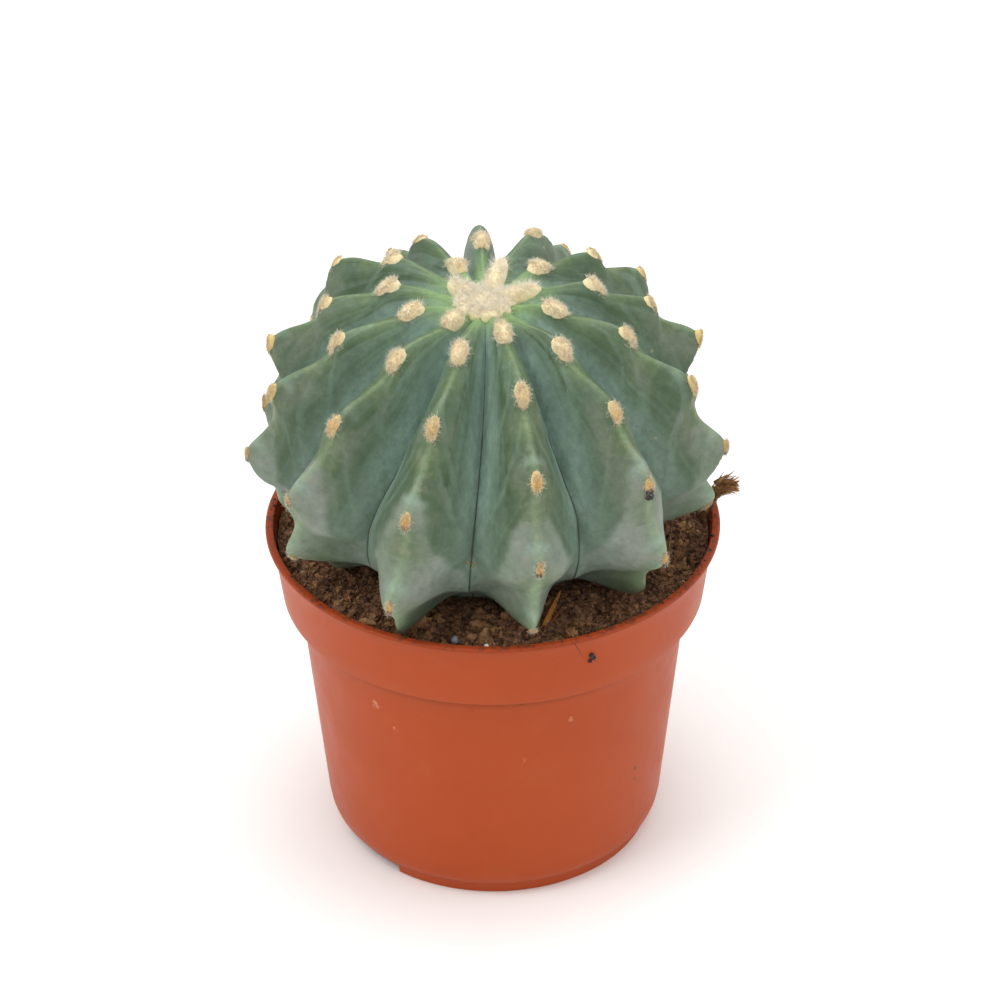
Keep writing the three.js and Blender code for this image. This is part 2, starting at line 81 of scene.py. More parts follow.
def give_attribute(piece, name, values):
    layer = piece.data.attributes.new(name, "FLOAT", "POINT")
    layer.data.foreach_set("value", np.asarray(values, dtype=float))


def recalculate_normals(piece):
    deselect_all()
    bpy.context.view_layer.objects.active = piece
    piece.select_set(True)
    bpy.ops.object.mode_set(mode="EDIT")
    bpy.ops.mesh.select_all(action="SELECT")
    bpy.ops.mesh.normals_make_consistent(inside=False)
    bpy.ops.object.mode_set(mode="OBJECT")


def take_shape(piece, name, angle=180):
    """Names a piece, applies its place and shades it smooth up to an angle."""
    deselect_all()
    bpy.context.view_layer.objects.active = piece
    piece.select_set(True)
    bpy.ops.object.transform_apply(location=True, rotation=True, scale=True)
    bpy.ops.object.shade_smooth_by_angle(angle=math.radians(angle))
    piece.name = name
    piece.data.name = name
    triangles = sum(len(face.vertices) - 2 for face in piece.data.polygons)
    print(name, "has", triangles, "triangles")


def linear(hex_colour):
    channels = [int(hex_colour[at : at + 2], 16) / 255 for at in (1, 3, 5)]
    return [c / 12.92 if c <= 0.04045 else ((c + 0.055) / 1.055) ** 2.4 for c in channels] + [1]


def new_material(name, **constants):
    """A material, its nodes and its shader. A constant is a socket's name with _ for each blank."""
    material = bpy.data.materials.new(name)
    material.use_nodes = True
    shader = material.node_tree.nodes["Principled BSDF"]
    for socket, value in constants.items():
        shader.inputs[socket.replace("_", " ")].default_value = value
    return material, material.node_tree, shader


def add(tree, kind, sockets=None, **settings):
    """Adds a node with its settings. A socket takes a value, a hex colour or another node's output."""
    node = tree.nodes.new(kind)
    for setting, value in settings.items():
        setattr(node, setting, value)
    for socket, value in (sockets or {}).items():
        if isinstance(value, bpy.types.NodeSocket):
            tree.links.new(value, node.inputs[socket])
        else:
            node.inputs[socket].default_value = linear(value) if isinstance(value, str) else value
    return node


def lay_coats(tree, colour, coats):
    """Lays coats of colour over one another, each as far as the product of its steps says.

    A step is a source, where it begins and ends, its value before and after, and LINEAR if it isn't
    soft. A source alone is a step too.
    """
    for over, *steps in coats:
        cover = None
        for source, *limits in steps:
            if limits:
                begin, end, before, after, *shape = limits
                source = add(tree, "ShaderNodeMapRange", {
                    "Value": source, "From Min": begin, "From Max": end, "To Min": before, "To Max": after,
                }, interpolation_type=(shape or ["SMOOTHSTEP"])[0]).outputs["Result"]
            if cover is not None:
                source = add(tree, "ShaderNodeMath", {0: cover, 1: source}, operation="MULTIPLY").outputs[0]
            cover = source
        colour = add(tree, "ShaderNodeMix", {0: cover, 6: colour, 7: over}, data_type="RGBA").outputs[2]
    return colour


def vary_brightness(tree, colour, source, begin, end, darkest, lightest):
    """Multiplies a colour by a grey that follows a source."""
    grey = add(tree, "ShaderNodeMapRange", {
        "Value": source, "From Min": begin, "From Max": end, "To Min": darkest, "To Max": lightest,
    }).outputs["Result"]
    grey = add(tree, "ShaderNodeCombineXYZ", {"X": grey, "Y": grey, "Z": grey}).outputs[0]
    return add(tree, "ShaderNodeMix", {
        0: 1, 6: colour, 7: grey,
    }, data_type="RGBA", blend_type="MULTIPLY").outputs[2]


def wear(material, *pieces):
    for piece in pieces:
        piece.data.materials.clear()
        piece.data.materials.append(material)
    print("material", material.name, "with", len(material.node_tree.nodes), "nodes")


# %% [markdown]
# ## Camera, floor and light
#
# The photograph looks down on the plant by a third of a right angle, from about 1.1 m, through a long
# lens. It has soft light from everywhere, as in a light tent: the world gives most of it. A lamp over
# the left shoulder gives the ribs a lit side and a shaded side, a broad one overhead lights the crown,
# and a weak one at the right opens the shadows.

# %% Camera
VIEW_DOWN = math.radians(33.46)
VIEW_DISTANCE = 1.1
AIM_HEIGHT = 0.0978
VIEW_ROLL = math.radians(-0.41)

camera_data = bpy.data.cameras.new("camera")
camera = bpy.data.objects.new("camera", camera_data)
bpy.context.scene.collection.objects.link(camera)
camera_data.sensor_width = 36
camera_data.lens = 150.5
camera_data.shift_x = 0.0074
camera_data.clip_start = 0.01
camera_data.clip_end = 50
camera.location = (
    0,
    -VIEW_DISTANCE * math.cos(VIEW_DOWN),
    AIM_HEIGHT + VIEW_DISTANCE * math.sin(VIEW_DOWN),
)
tilt = Matrix.Rotation(math.pi / 2 - VIEW_DOWN, 4, "X") @ Matrix.Rotation(VIEW_ROLL, 4, "Z")
camera.rotation_euler = tilt.to_euler()
bpy.context.scene.camera = camera
print("camera", VIEW_DISTANCE, "m away, lens", camera_data.lens, "mm")

# %% Floor and light
deselect_all()
bpy.ops.mesh.primitive_circle_add(vertices=96, radius=3, fill_type="NGON", location=(0, 0, 0))
floor = bpy.context.object
floor.name = "floor"
# Matt white paper, which shows the shadow and no reflection.
floor_material, tree, shader = new_material(
    "floor_white_paper", Base_Color=linear("#f8f8f6"), Roughness=0.9, Specular_IOR_Level=0.1
)
wear(floor_material, floor)

world = bpy.data.worlds.new("light_tent")
world.use_nodes = True
world.node_tree.nodes["Background"].inputs["Color"].default_value = linear("#ffffff")
world.node_tree.nodes["Background"].inputs["Strength"].default_value = 0.92
bpy.context.scene.world = world
bpy.context.scene.view_settings.view_transform = "Standard"

for name, place, power, size in [
    ("key_light", (-0.7, -0.45, 1.2), 6, 0.6),
    ("top_light", (0.1, 0.15, 1.5), 6, 0.8),
    ("fill_light", (0.95, -0.1, 0.8), 2, 0.9),
]:
    lamp_data = bpy.data.lights.new(name, "AREA")
    lamp_data.energy = power
    lamp_data.size = size
    lamp = bpy.data.objects.new(name, lamp_data)
    lamp.location = place
    lamp.rotation_euler = (Vector((0, 0, 0.1)) - Vector(place)).to_track_quat("-Z", "Y").to_euler()
    bpy.context.scene.collection.objects.link(lamp)
    print(name, power, "W")

# %% [markdown]
# ## The pot
#
# A nursery pot is injection moulded in polypropylene, under a millimetre thick. Its outline is the
# same all the way round, so it could be spun from a profile. Here a ring of vertices is extruded
# again and again, each time to the next radius and height, which keeps every ring in one place for
# the rolled lip. Drain holes and two notches in the foot ring are cut afterwards.

# %% Pot: raise the wall ring by ring
POT_SIDES = 160
UNDERSIDE_HEIGHT = 2.8


def quarter_round(centre_radius, centre_height, size, start):
    """Five points of a quarter circle, from a start angle, anticlockwise."""
    angles = [math.radians(start + 22.5 * step) for step in range(5)]
    return [(centre_radius + size * math.cos(a), centre_height + size * math.sin(a)) for a in angles]


# The pot's outline as radii and heights in mm, from the base over the outside to the inside.
pot_outline = [
    # The foot ring and the rounded corner of the foot.
    (41.0, UNDERSIDE_HEIGHT), (41.0, 0.25), (41.25, 0), (41.95, 0), (42.2, 0.25), (42.65, 3.0),
    (43.1, 3.7), (43.9, 4.4), (44.5, 5.2), (45.0, 6.6), (45.4, 8.9),
    # The wall, the step and the band.
    *[(45.4 + 6.2 * step / 8, 8.9 + 62.2 * step / 8) for step in range(1, 9)],
    (51.8, 71.5), (52.3, 71.7), (55.3, 71.75), (55.8, 71.9), (56.0, 72.4),
    *[(56.0 + 2.3 * step / 4, 72.4 + 17.8 * step / 4) for step in range(1, 5)],
    # The rolled lip.
    (58.5, 90.55), (58.9, 90.7), (59.6, 90.72),
    *quarter_round(59.5, 91.2, 0.5, -60)[:3], *quarter_round(59.4, 91.4, 0.6, 0),
    *quarter_round(58.3, 91.5, 0.5, 90), (57.65, 90.9), (57.6, 90.6),
    # The inside of the band, the step and the wall, down to the base.
    *[(57.6 - 2.3 * step / 4, 90.6 - 17.5 * step / 4) for step in range(1, 5)],
    (55.0, 72.65), (51.3, 72.55), (50.85, 72.2),
    *[(50.8 - 6.1 * step / 6, 71.9 - 62.8 * step / 6) for step in range(1, 7)],
    (44.2, 6.9), (43.4, 5.2), (42.4, 4.2), (41.4, 3.8),
]

deselect_all()
first_radius, first_height = pot_outline[0]
bpy.ops.mesh.primitive_circle_add(
    vertices=POT_SIDES, radius=first_radius * MM, fill_type="NGON", location=(0, 0, first_height * MM)
)
pot = bpy.context.object
bpy.ops.object.transform_apply(location=True)
bpy.ops.object.mode_set(mode="EDIT")
bpy.ops.mesh.select_mode(type="EDGE")
bpy.ops.mesh.select_all(action="SELECT")
for (radius, height), (next_radius, next_height) in zip(pot_outline, pot_outline[1:]):
    bpy.ops.mesh.extrude_edges_move(
        TRANSFORM_OT_translate={"value": (0, 0, (next_height - height) * MM)}
    )
    growth = next_radius / radius
    bpy.ops.transform.resize(value=(growth, growth, 1), center_override=(0, 0, 0))
bpy.ops.mesh.edge_face_add()
bpy.ops.object.mode_set(mode="OBJECT")
recalculate_normals(pot)
print("pot wall of", len(pot_outline), "rings,", len(pot.data.vertices), "vertices")

# %% Pot: drain holes and notches
DRAIN_HOLES, NOTCH_AZIMUTHS = 8, (-54, 126)
cutters = []
for hole in range(DRAIN_HOLES):
    angle = 2 * math.pi * hole / DRAIN_HOLES
    place = (33 * MM * math.sin(angle), -33 * MM * math.cos(angle), UNDERSIDE_HEIGHT * MM)
    bpy.ops.mesh.primitive_cylinder_add(vertices=32, radius=3.5 * MM, depth=8 * MM, location=place)
    cutters.append(bpy.context.object)
for azimuth in NOTCH_AZIMUTHS:
    angle = math.radians(azimuth)
    place = (41.6 * MM * math.sin(angle), -41.6 * MM * math.cos(angle), 0.8 * MM)
    bpy.ops.mesh.primitive_cube_add(size=1, location=place, rotation=(0, 0, angle))
    cutters.append(bpy.context.object)
    bpy.context.object.scale = (24 * MM, 14 * MM, 3.6 * MM)
deselect_all()
for cutter in cutters:
    cutter.select_set(True)
bpy.context.view_layer.objects.active = cutters[0]
bpy.ops.object.join()
cutter = bpy.context.object
deselect_all()
bpy.context.view_layer.objects.active = pot
cut = pot.modifiers.new("cut", "BOOLEAN")
cut.operation = "DIFFERENCE"
cut.solver = "EXACT"
cut.object = cutter
bpy.ops.object.modifier_apply(modifier="cut")
bpy.data.objects.remove(cutter)
take_shape(pot, "pot_shell", 32)
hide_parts("pot")
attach(pot, "root")

# %% [markdown]
# ### Polypropylene, coloured through and moulded in a satin mould
#
# Brick-orange polypropylene has a soft, broad gloss and a faint unevenness where the melt cooled. A
# used pot carries dust and dry peat: pale water marks, tiny specks and a few knocks and scuffs. The
# marks and specks are drawn by noise, the knocks have places of their own, and the gloss is duller
# where the dust lies.

# %% Material of the pot: from the clean plastic to the dirt on the lip
pot_material, tree, shader = new_material(
    "moulded_polypropylene_brick_orange", IOR=1.49, Specular_IOR_Level=0.15,
    Subsurface_Weight=0.08, Subsurface_Radius=(1.0, 0.35, 0.15), Subsurface_Scale=0.001,
)
place = add(tree, "ShaderNodeTexCoord").outputs["Object"]
height = add(tree, "ShaderNodeSeparateXYZ", {"Vector": place}).outputs["Z"]
# Clouds 36 and 13 mm wide, the places of the specks, and grime in grains of 2 mm.
cooling, film, specks_here, grime = [
    add(tree, "ShaderNodeTexNoise", {
        "Vector": place, "Scale": scale, "Detail": detail, "Roughness": roughness,
    }).outputs["Fac"]
    for scale, detail, roughness in ((28, 4, 0.6), (75, 8, 0.72), (90, 2, 0.5), (420, 5, 0.7))
]
# Specks of a millimetre or less, 4 mm apart.
specks = add(tree, "ShaderNodeTexVoronoi", {"Vector": place, "Scale": 240}).outputs["Distance"]
pot_colour = lay_coats(tree, "#a04019", [
    # The melt cooled unevenly, and a film of dust lies in clouds.
    ("#ad4b22", (cooling,)),
    ("#a9653f", (film, 0.5, 0.8, 0, 0.22)),
    ("#5a3a28", (specks_here, 0.66, 0.72, 0, 1, "LINEAR"), (specks, 0.1, 0.2, 1, 0, "LINEAR")),
    # The lip is darker, with wet grime on its top.
    ("#7a2c13", (height, 0.0896, 0.0908, 0, 0.45)),
    ("#4a3020", (grime, 0.5, 0.62, 0, 0.75, "LINEAR"), (height, 0.0912, 0.0919, 0, 1, "LINEAR")),
    # Painted shade: the wall right under the band is darker, as if the band's shadow falls there.
    ("#6e2a12", (height, 0.0664, 0.0699, 0, 0.62), (height, 0.0716, 0.0722, 1, 0, "LINEAR")),
])

# %% Material of the pot: scuffs, gloss and grain
# Pale scuffs and dark flecks where the pot was knocked: place and size in mm, and colour.
MARKS = [
    ((-31, -40.3, 61), 1.6, "#d9a184"), ((-21.5, -46, 78), 1.2, "#d9a184"),
    ((-26, -42.5, 55), 0.9, "#e0b096"), ((-5.5, -50, 66), 0.8, "#59301d"),
    ((-4.3, -50.2, 65), 0.5, "#59301d"), ((-12, -49.8, 70.5), 0.6, "#c98d6f"),
    ((20, -46.5, 60.5), 1, "#d9a184"), ((8, -49, 49), 0.8, "#c98d6f"), ((-33, -40, 71), 0.8, "#5f3826"),
]
RAGGED = 4 * MM
jitter = add(tree, "ShaderNodeTexNoise", {"Vector": place, "Scale": 900, "Detail": 3}).outputs["Color"]
jitter = add(tree, "ShaderNodeVectorMath", {0: jitter, 1: (-0.5, -0.5, -0.5)}, operation="ADD").outputs[0]
ragged_place = add(tree, "ShaderNodeVectorMath", {
    0: jitter, 1: (RAGGED, RAGGED, RAGGED), 2: place,
}, operation="MULTIPLY_ADD").outputs[0]
for centre, size, colour in MARKS:
    apart = add(tree, "ShaderNodeVectorMath", {
        0: ragged_place, 1: [MM * value for value in centre],
    }, operation="DISTANCE").outputs["Value"]
    pot_colour = lay_coats(tree, pot_colour, [
        (colour, (apart, 0.3 * size * MM, size * MM, 0.45, 0, "LINEAR")),
    ])
# The mould's satin is a grain of half a millimetre, coarser than the real one so that it shows.
gloss = add(tree, "ShaderNodeMapRange", {
    "Value": film, "From Min": 0.35, "From Max": 0.75, "To Min": 0.34, "To Max": 0.52,
}).outputs["Result"]
grain = add(tree, "ShaderNodeTexNoise", {"Vector": place, "Scale": 1600, "Detail": 2}).outputs["Fac"]
bump = add(tree, "ShaderNodeBump", {"Height": grain, "Strength": 0.12, "Distance": 0.0002}).outputs[0]
tree.links.new(pot_colour, shader.inputs["Base Color"])
tree.links.new(gloss, shader.inputs["Roughness"])
tree.links.new(bump, shader.inputs["Normal"])
wear(pot_material, pot)

# %% [markdown]
# ## The form of the plant
#
# The plant is a ball drawn in at its crown and pleated into thirteen ribs. Two outlines say most of
# it: that of a crest and that of a furrow, both from the crown, over the shoulder, down to the toe
# and back under to the neck. Between them each rib has a rounded edge and bulging flanks. On a crest
# the surface dips between one areole and the next, and each rib has its own azimuth, its own spacing
# and its own girth. The whole plant leans to the front by a degree and a half.

# %% Ribs and outlines
# Azimuth of the crest in degrees, its sweep, polar angle of the first areole, step to the next, girth
# and toe in mm, rise of the shoulder in mm and depth of the lower dips against the usual one.
RIBS = np.array([
    (13, -2, 20.5, 20.5, 64, 1, 0, 1), (42, 6, 32, 19.5, 62.5, 3, 0, 0.5),
    (73, 9, 21, 19, 65, -4.5, 0, 1.4), (98.5, -1, 30, 15.5, 57, 0, 0, 1),
    (131, -1, 20.5, 19, 60.5, 0, 0, 1), (158, -6, 16, 22.5, 61.5, 0, 0, 1),
    (181.5, 0, 26, 33, 61.5, 0, 3.5, 1), (206.5, 0, 17.5, 21.5, 61.5, 0, -1.3, 1),
    (233.5, 3, 12, 19.5, 57.5, 0, 2.5, 1), (263, 3, 26.5, 17, 59.5, -1, 0, 1),
    (286.5, -12, 22, 19.5, 63.5, -7, 0, 1), (314, -15, 15.5, 20.2, 65.5, -4, 0, 1.2),
    (343, -7, 28.5, 21, 66, 4, 0, 1),
], dtype=float)
# The outlines are radii and heights in mm, from the crown down to the neck.
CREST_OUTLINE = np.array([
    (0, 157), (7.7, 159), (16.7, 161.3), (29.4, 160.7), (43.7, 153.7), (56.2, 142.4), (62.8, 126.8),
    (65, 110), (59.5, 98), (52.2, 92.2), (48.8, 91), (43.5, 91.4), (38, 91.4), (34, 91), (33.6, 89.2),
])
FURROW_OUTLINE = np.array([
    (0, 157), (5.5, 156.6), (12.5, 157), (22, 152), (30.5, 141), (38, 132.2), (46.5, 122.5),
    (49.2, 111), (46.2, 101), (40.5, 96.4), (37.8, 94.2), (36.6, 93.2), (35.4, 92.4), (34, 91.4),
    (33.6, 89.2),
])
# How deep the crest dips between two areoles, by polar angle, and where the dip is deepest: right
# under an areole high up, and near the middle lower down.
DIP_DEPTHS = ((0, 10, 25, 45, 65, 85, 100, 125), (0, 0.5, 2.1, 3.2, 3.6, 5, 5, 0))
DIP_SKEWS = ((30, 60, 90), (0.5, 0.6, 0.85))
# The shoulders of the ribs at the back are narrow fingers, and two of them swell late.
SLIM_RIBS, LATE_RIBS = (5, 6, 7), (5, 6)
LATE_LEAD, USUAL_LEAD = -0.16, 0.05
PLANT_X, PLANT_Y, PLANT_CENTRE_HEIGHT, LEAN_HEIGHT = -1.7, 1.6, 110, 90
LEAN = math.radians(1.6)
FULL_GIRTH, TOE_STATION, UNDERSIDE_STATION, NECK_STATION = 65, 9.5, 11, 13
LAST_STATION = len(CREST_OUTLINE) - 1
# Polar angles between which something comes or goes, from the crown down.
CHEVRONS_COME, SLIM_COMES, SLIM_GOES = (10, 50), (20, 40), (60, 80)
RISE_COMES, RISE_GOES, SHOULDER = (28, 46), (50, 70), (35, 75)
LEAD_GOES, GIRTH_COMES, TOE_COMES, LOW_PART = (45, 70), (58, 76), (84, 100), (84, 102)
LOWER_DIPS_COME, LOWER_DIPS_GO = (60, 75), (88, 97)


def smooth(value, low, high):
    part = np.clip((value - low) / (high - low), 0, 1)
    return part * part * (3 - 2 * part)


def along_outline(outline, station):
    """A smooth curve through the points of an outline, read at station numbers."""
    station = np.clip(station, 0, LAST_STATION)
    at = np.minimum(np.floor(station).astype(int), LAST_STATION - 1)
    part = (station - at)[:, None]
    before, start = outline[np.maximum(at - 1, 0)], outline[at]
    end, after = outline[at + 1], outline[np.minimum(at + 2, LAST_STATION)]
    leave, arrive = (end - before) / 2, (after - start) / 2
    return (
        (2 * start - 2 * end + leave + arrive) * part**3
        + (3 * end - 3 * start - 2 * leave - arrive) * part**2 + leave * part + start
    )


def crest_azimuth(rib, polar):
    """Azimuth of a crest in degrees. Its sweep turns it to a side on its way down."""
    turns, index = np.divmod(rib, len(RIBS))
    sweep = RIBS[index, 1] * (np.minimum(np.radians(polar), 1.9) - 1)
    return RIBS[index, 0] + 360 * turns + sweep


print(len(RIBS), "ribs")

# %% The surface of the plant
def plant_surface(turn, station):
    """Points in mm where turn counts ribs round the plant and station counts along the outlines."""
    rib = np.floor(turn + 0.5).astype(int)
    index = np.mod(rib, len(RIBS))
    across = 2 * (turn - rib)
    aside = np.abs(across)
    first, step, girth, toe, rise, scallop = RIBS[index, 2:].T
    crest, furrow = along_outline(CREST_OUTLINE, station), along_outline(FURROW_OUTLINE, station)
    polar = np.degrees(np.arctan2(crest[:, 0], crest[:, 1] - PLANT_CENTRE_HEIGHT))
    own = crest_azimuth(rib, polar)
    beside = crest_azimuth(rib + np.where(across < 0, -1, 1), polar)
    azimuth = np.radians(own + aside * (beside - own) / 2)

    # The crest's own girth, toe and rise, and the section from the crest to the furrow.
    above_neck = 1 - smooth(station, UNDERSIDE_STATION - 1, NECK_STATION)
    crest[:, 0] -= (FULL_GIRTH - girth) * smooth(polar, *GIRTH_COMES) * above_neck
    crest[:, 0] += toe * smooth(polar, *TOE_COMES) * above_neck
    crest[:, 1] += rise * smooth(polar, *RISE_COMES) * (1 - smooth(polar, *RISE_GOES))
    over_shoulder, lowness = smooth(polar, *SHOULDER), smooth(polar, *LOW_PART)
    slim = np.isin(index, SLIM_RIBS) * (smooth(polar, *SLIM_COMES) - smooth(polar, *SLIM_GOES))
    rounding = 2 - 0.65 * over_shoulder + slim
    power = (1.3 - 0.45 * over_shoulder + 2.4 * slim) * (1 - lowness) + 3.4 * lowness
    section = furrow + (crest - furrow) * ((1 - np.minimum(aside, 1) ** rounding) ** power)[:, None]

    # The dips between the areoles. They run down a flank as chevrons and fade out in the furrow.
    chevron_polar = polar - 12 * aside * smooth(polar, *CHEVRONS_COME)
    lead = np.where(np.isin(index, LATE_RIBS), LATE_LEAD, USUAL_LEAD)
    lead = lead * (1 - smooth(chevron_polar, *LEAD_GOES))
    way = np.mod((chevron_polar - first) / step + lead, 1)
    lower_dips = smooth(chevron_polar, *LOWER_DIPS_COME) - smooth(chevron_polar, *LOWER_DIPS_GO)
    depth = np.interp(chevron_polar, *DIP_DEPTHS) * (1 + (scallop - 1) * lower_dips)
    skewed_way = way ** np.interp(chevron_polar, *DIP_SKEWS)
    dip = depth * (0.5 - 0.5 * np.cos(2 * math.pi * skewed_way)) * (1 - aside) ** 0.8
    dip *= (chevron_polar >= first - step) * (1 - smooth(station, TOE_STATION, UNDERSIDE_STATION))
    radius = section[:, 0] - dip * np.sin(np.radians(polar))
    height = section[:, 1] - dip * np.cos(np.radians(polar))

    # The lean of the plant above its neck.
    x, y, z = radius * np.sin(azimuth), -radius * np.cos(azimuth), height - LEAN_HEIGHT
    lean = np.where(station < NECK_STATION, LEAN, 0)
    leaned_y = y * np.cos(lean) - z * np.sin(lean)
    leaned_z = y * np.sin(lean) + z * np.cos(lean)
    points = np.column_stack((x + PLANT_X, leaned_y + PLANT_Y, leaned_z + LEAN_HEIGHT))
    return points, {"across": across, "polar": polar, "rib": index}


# %% Places on a crest, and the areoles
STATION_SCALE = np.arange(0, UNDERSIDE_STATION, 0.01)
crest_scale = along_outline(CREST_OUTLINE, STATION_SCALE)
POLAR_SCALE = np.degrees(np.arctan2(crest_scale[:, 0], crest_scale[:, 1] - PLANT_CENTRE_HEIGHT))


def crest_place(rib, polar):
    """A point on a crest, the way down the crest there, and the way straight out of it."""
    station = np.interp(polar, POLAR_SCALE, STATION_SCALE)
    stations = np.array([station, station - 0.1, station + 0.1])
    (point, above, below), _ = plant_surface(np.full(3, float(rib)), stations)
    azimuth = math.radians(crest_azimuth(np.array([rib]), np.array([polar]))[0])
    along = Vector(below - above).normalized()
    sideways = Vector((math.cos(azimuth), math.sin(azimuth), 0))
    outward = along.cross(sideways).normalized()
    return Vector(point), along, outward


# The youngest areoles of three ribs are one with the wool of the crown. On the ribs at the sides and
# the back the lower pads are worn flat: WEAR says how much, rib by rib.
WOOL_ARMS = [(3, 14.5), (5, 16), (8, 12)]
WEAR = (0, 0, 0.3, 0.6, 0.6, 0.6, 0.4, 0.6, 0.6, 0.6, 0.4, 0, 0)
YOUNGEST, OLDEST = 15, 104
AREOLES = []
for rib, (_, _, first, step, *_) in enumerate(RIBS):
    for polar in np.arange(first, OLDEST, step):
        if (rib, polar) not in WOOL_ARMS:
            point, along, outward = crest_place(rib, polar)
            age = float(smooth(polar, YOUNGEST, OLDEST))
            wear_here = WEAR[rib] * float(smooth(polar, 32, 55))
            AREOLES.append({
                "polar": polar, "age": age, "point": point,
                "along": along, "outward": outward, "across": along.cross(outward),
                "length": 7.8 - 3 * age, "width": 4.8 - 2.9 * age,
                "height": (1.7 - 1.15 * age) * (1 - 0.6 * wear_here),
            })
print(len(AREOLES), "areoles outside the crown")

# %% [markdown]
# ## The body
#
# A sphere already closes at both poles and has its vertices in rings and meridians, so it makes a
# good start: each meridian becomes a line down a rib, each ring a line round the plant, and the
# function above says where every vertex goes. Twenty-eight meridians to a rib keep the crests round
# and the furrows narrow. The last rings go down the neck into the peat.

# %% Body: from a sphere to thirteen ribs
from mathutils import noise

MERIDIANS_PER_RIB = 28
BODY_MERIDIANS = MERIDIANS_PER_RIB * len(RIBS)
BODY_RINGS = 250
NECK_RINGS = 5
NECK_TOP, NECK_BOTTOM = 89.2, 72

deselect_all()
bpy.ops.mesh.primitive_uv_sphere_add(segments=BODY_MERIDIANS, ring_count=BODY_RINGS, radius=1)
body = bpy.context.object
sphere = points_of(body)
ring = np.rint(np.arccos(np.clip(sphere[:, 2], -1, 1)) / math.pi * BODY_RINGS)
turn = np.mod(np.arctan2(sphere[:, 0], -sphere[:, 1]) / (2 * math.pi), 1) * len(RIBS)
turn = np.rint(turn * MERIDIANS_PER_RIB) / MERIDIANS_PER_RIB

# The meridians crowd together on the crests and in the furrows, where the surface bends most.
nearest_rib = np.floor(turn + 0.5)
share_aside = 2 * (turn - nearest_rib)
turn = nearest_rib + (share_aside - 0.1 * np.sin(2 * math.pi * share_aside)) / 2
ring_share = np.minimum(ring / (BODY_RINGS - NECK_RINGS), 1)
station = np.interp(ring_share, (0, 0.86, 1), (0, 10.5, LAST_STATION))
skin, facts = plant_surface(turn, station)

# Each areole sits at the lower edge of a low swelling of the crest.
centre = np.array((PLANT_X, PLANT_Y, PLANT_CENTRE_HEIGHT))
outwards = (skin - centre) / np.linalg.norm(skin - centre, axis=1)[:, None]
swelling = np.zeros(len(skin))
for areole in AREOLES:
    apart = skin - np.array(areole["point"])
    drop, aside = apart @ np.array(areole["along"]), apart @ np.array(areole["across"])
    swelling += (0.35 + 0.45 * areole["age"]) * np.exp(-((drop + 3.8) ** 2) / 12 - aside**2 / 9)
skin += outwards * swelling[:, None]

# Fine unevenness of the skin, height by width in mm: long low swellings and a slight orange peel.
RELIEF = ((0.22, 9), (0.1, 3.1), (0.03, 0.9))
relief = np.array([sum(high * noise.noise(Vector(p) / wide) for high, wide in RELIEF) for p in skin])
skin += outwards * (relief * smooth(ring, 2, 12))[:, None]
neck = ring >= BODY_RINGS - NECK_RINGS
neck_depth = (ring[neck] - (BODY_RINGS - NECK_RINGS)) / (NECK_RINGS - 1)
neck_height = NECK_TOP + (NECK_BOTTOM - NECK_TOP) * np.minimum(neck_depth, 1)
skin[neck, 2] = np.minimum(skin[neck, 2], neck_height)
skin[ring == BODY_RINGS] = (PLANT_X, PLANT_Y, NECK_BOTTOM)
move_points(body, skin * MM)

# %% Body: what the skin's colours follow
# The distance from the nearest areole and how far below it a place is, both in mm; polar angles go
# by a hundred degrees.
nearest = np.full(len(skin), 1e9)
nearest_drop = np.zeros(len(skin))
for areole in AREOLES:
    apart = skin - np.array(areole["point"])
    distance = np.linalg.norm(apart, axis=1)
    closer = distance < nearest
    nearest[closer] = distance[closer]
    nearest_drop[closer] = apart[closer] @ np.array(areole["along"])
for name, values in {
    "across": facts["across"], "aside": np.abs(facts["across"]), "polar": facts["polar"] / 100,
    "rib": facts["rib"], "areole_distance": np.minimum(nearest, 30),
    "areole_drop": np.clip(nearest_drop, -30, 30),
}.items():
    give_attribute(body, name, values)
take_shape(body, "cactus_flesh")
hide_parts("cactus_body")
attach(body, "root")

# %% [markdown]
# ### The skin: waxy green with a grey bloom
#
# The skin is green tissue under a thin coat of wax. It is bright green at the crown, where it is
# young, blue green with pale streaks on the flanks, and covered by a grey-violet bloom on the lower
# ribs. The bloom starts in a chevron: high on the crest, low in the furrows. Attributes carry the
# place on the rib, so the streaks run down the flanks and the chevrons cross them.
# Some light and shade is painted as well: highlights on the crests and above the areoles, a dark line at the
# bottom of each furrow, and lighter wax beside it.

# %% Material of the skin: what the patterns follow
skin_material, tree, shader = new_material(
    "waxy_cactus_skin", IOR=1.42, Subsurface_Weight=0.12, Subsurface_Radius=(0.5, 1.0, 0.4),
    Subsurface_Scale=0.0015,
)
across, aside, polar, rib, areole_distance, areole_drop = [
    add(tree, "ShaderNodeAttribute", attribute_name=name).outputs["Fac"]
    for name in ("across", "aside", "polar", "rib", "areole_distance", "areole_drop")
]
place = add(tree, "ShaderNodeTexCoord").outputs["Object"]
# Patches 17 mm wide, a mottle of 2.4 mm, pores 1 mm apart and a scar here and there.
patches = add(tree, "ShaderNodeTexNoise", {"Vector": place, "Scale": 60, "Detail": 5}).outputs["Fac"]
mottle = add(tree, "ShaderNodeTexNoise", {
    "Vector": place, "Scale": 420, "Detail": 6, "Roughness": 0.65,
}).outputs["Fac"]
pores = add(tree, "ShaderNodeTexVoronoi", {"Vector": place, "Scale": 900}).outputs["Distance"]
scars = add(tree, "ShaderNodeTexVoronoi", {"Vector": place, "Scale": 130}).outputs["Distance"]

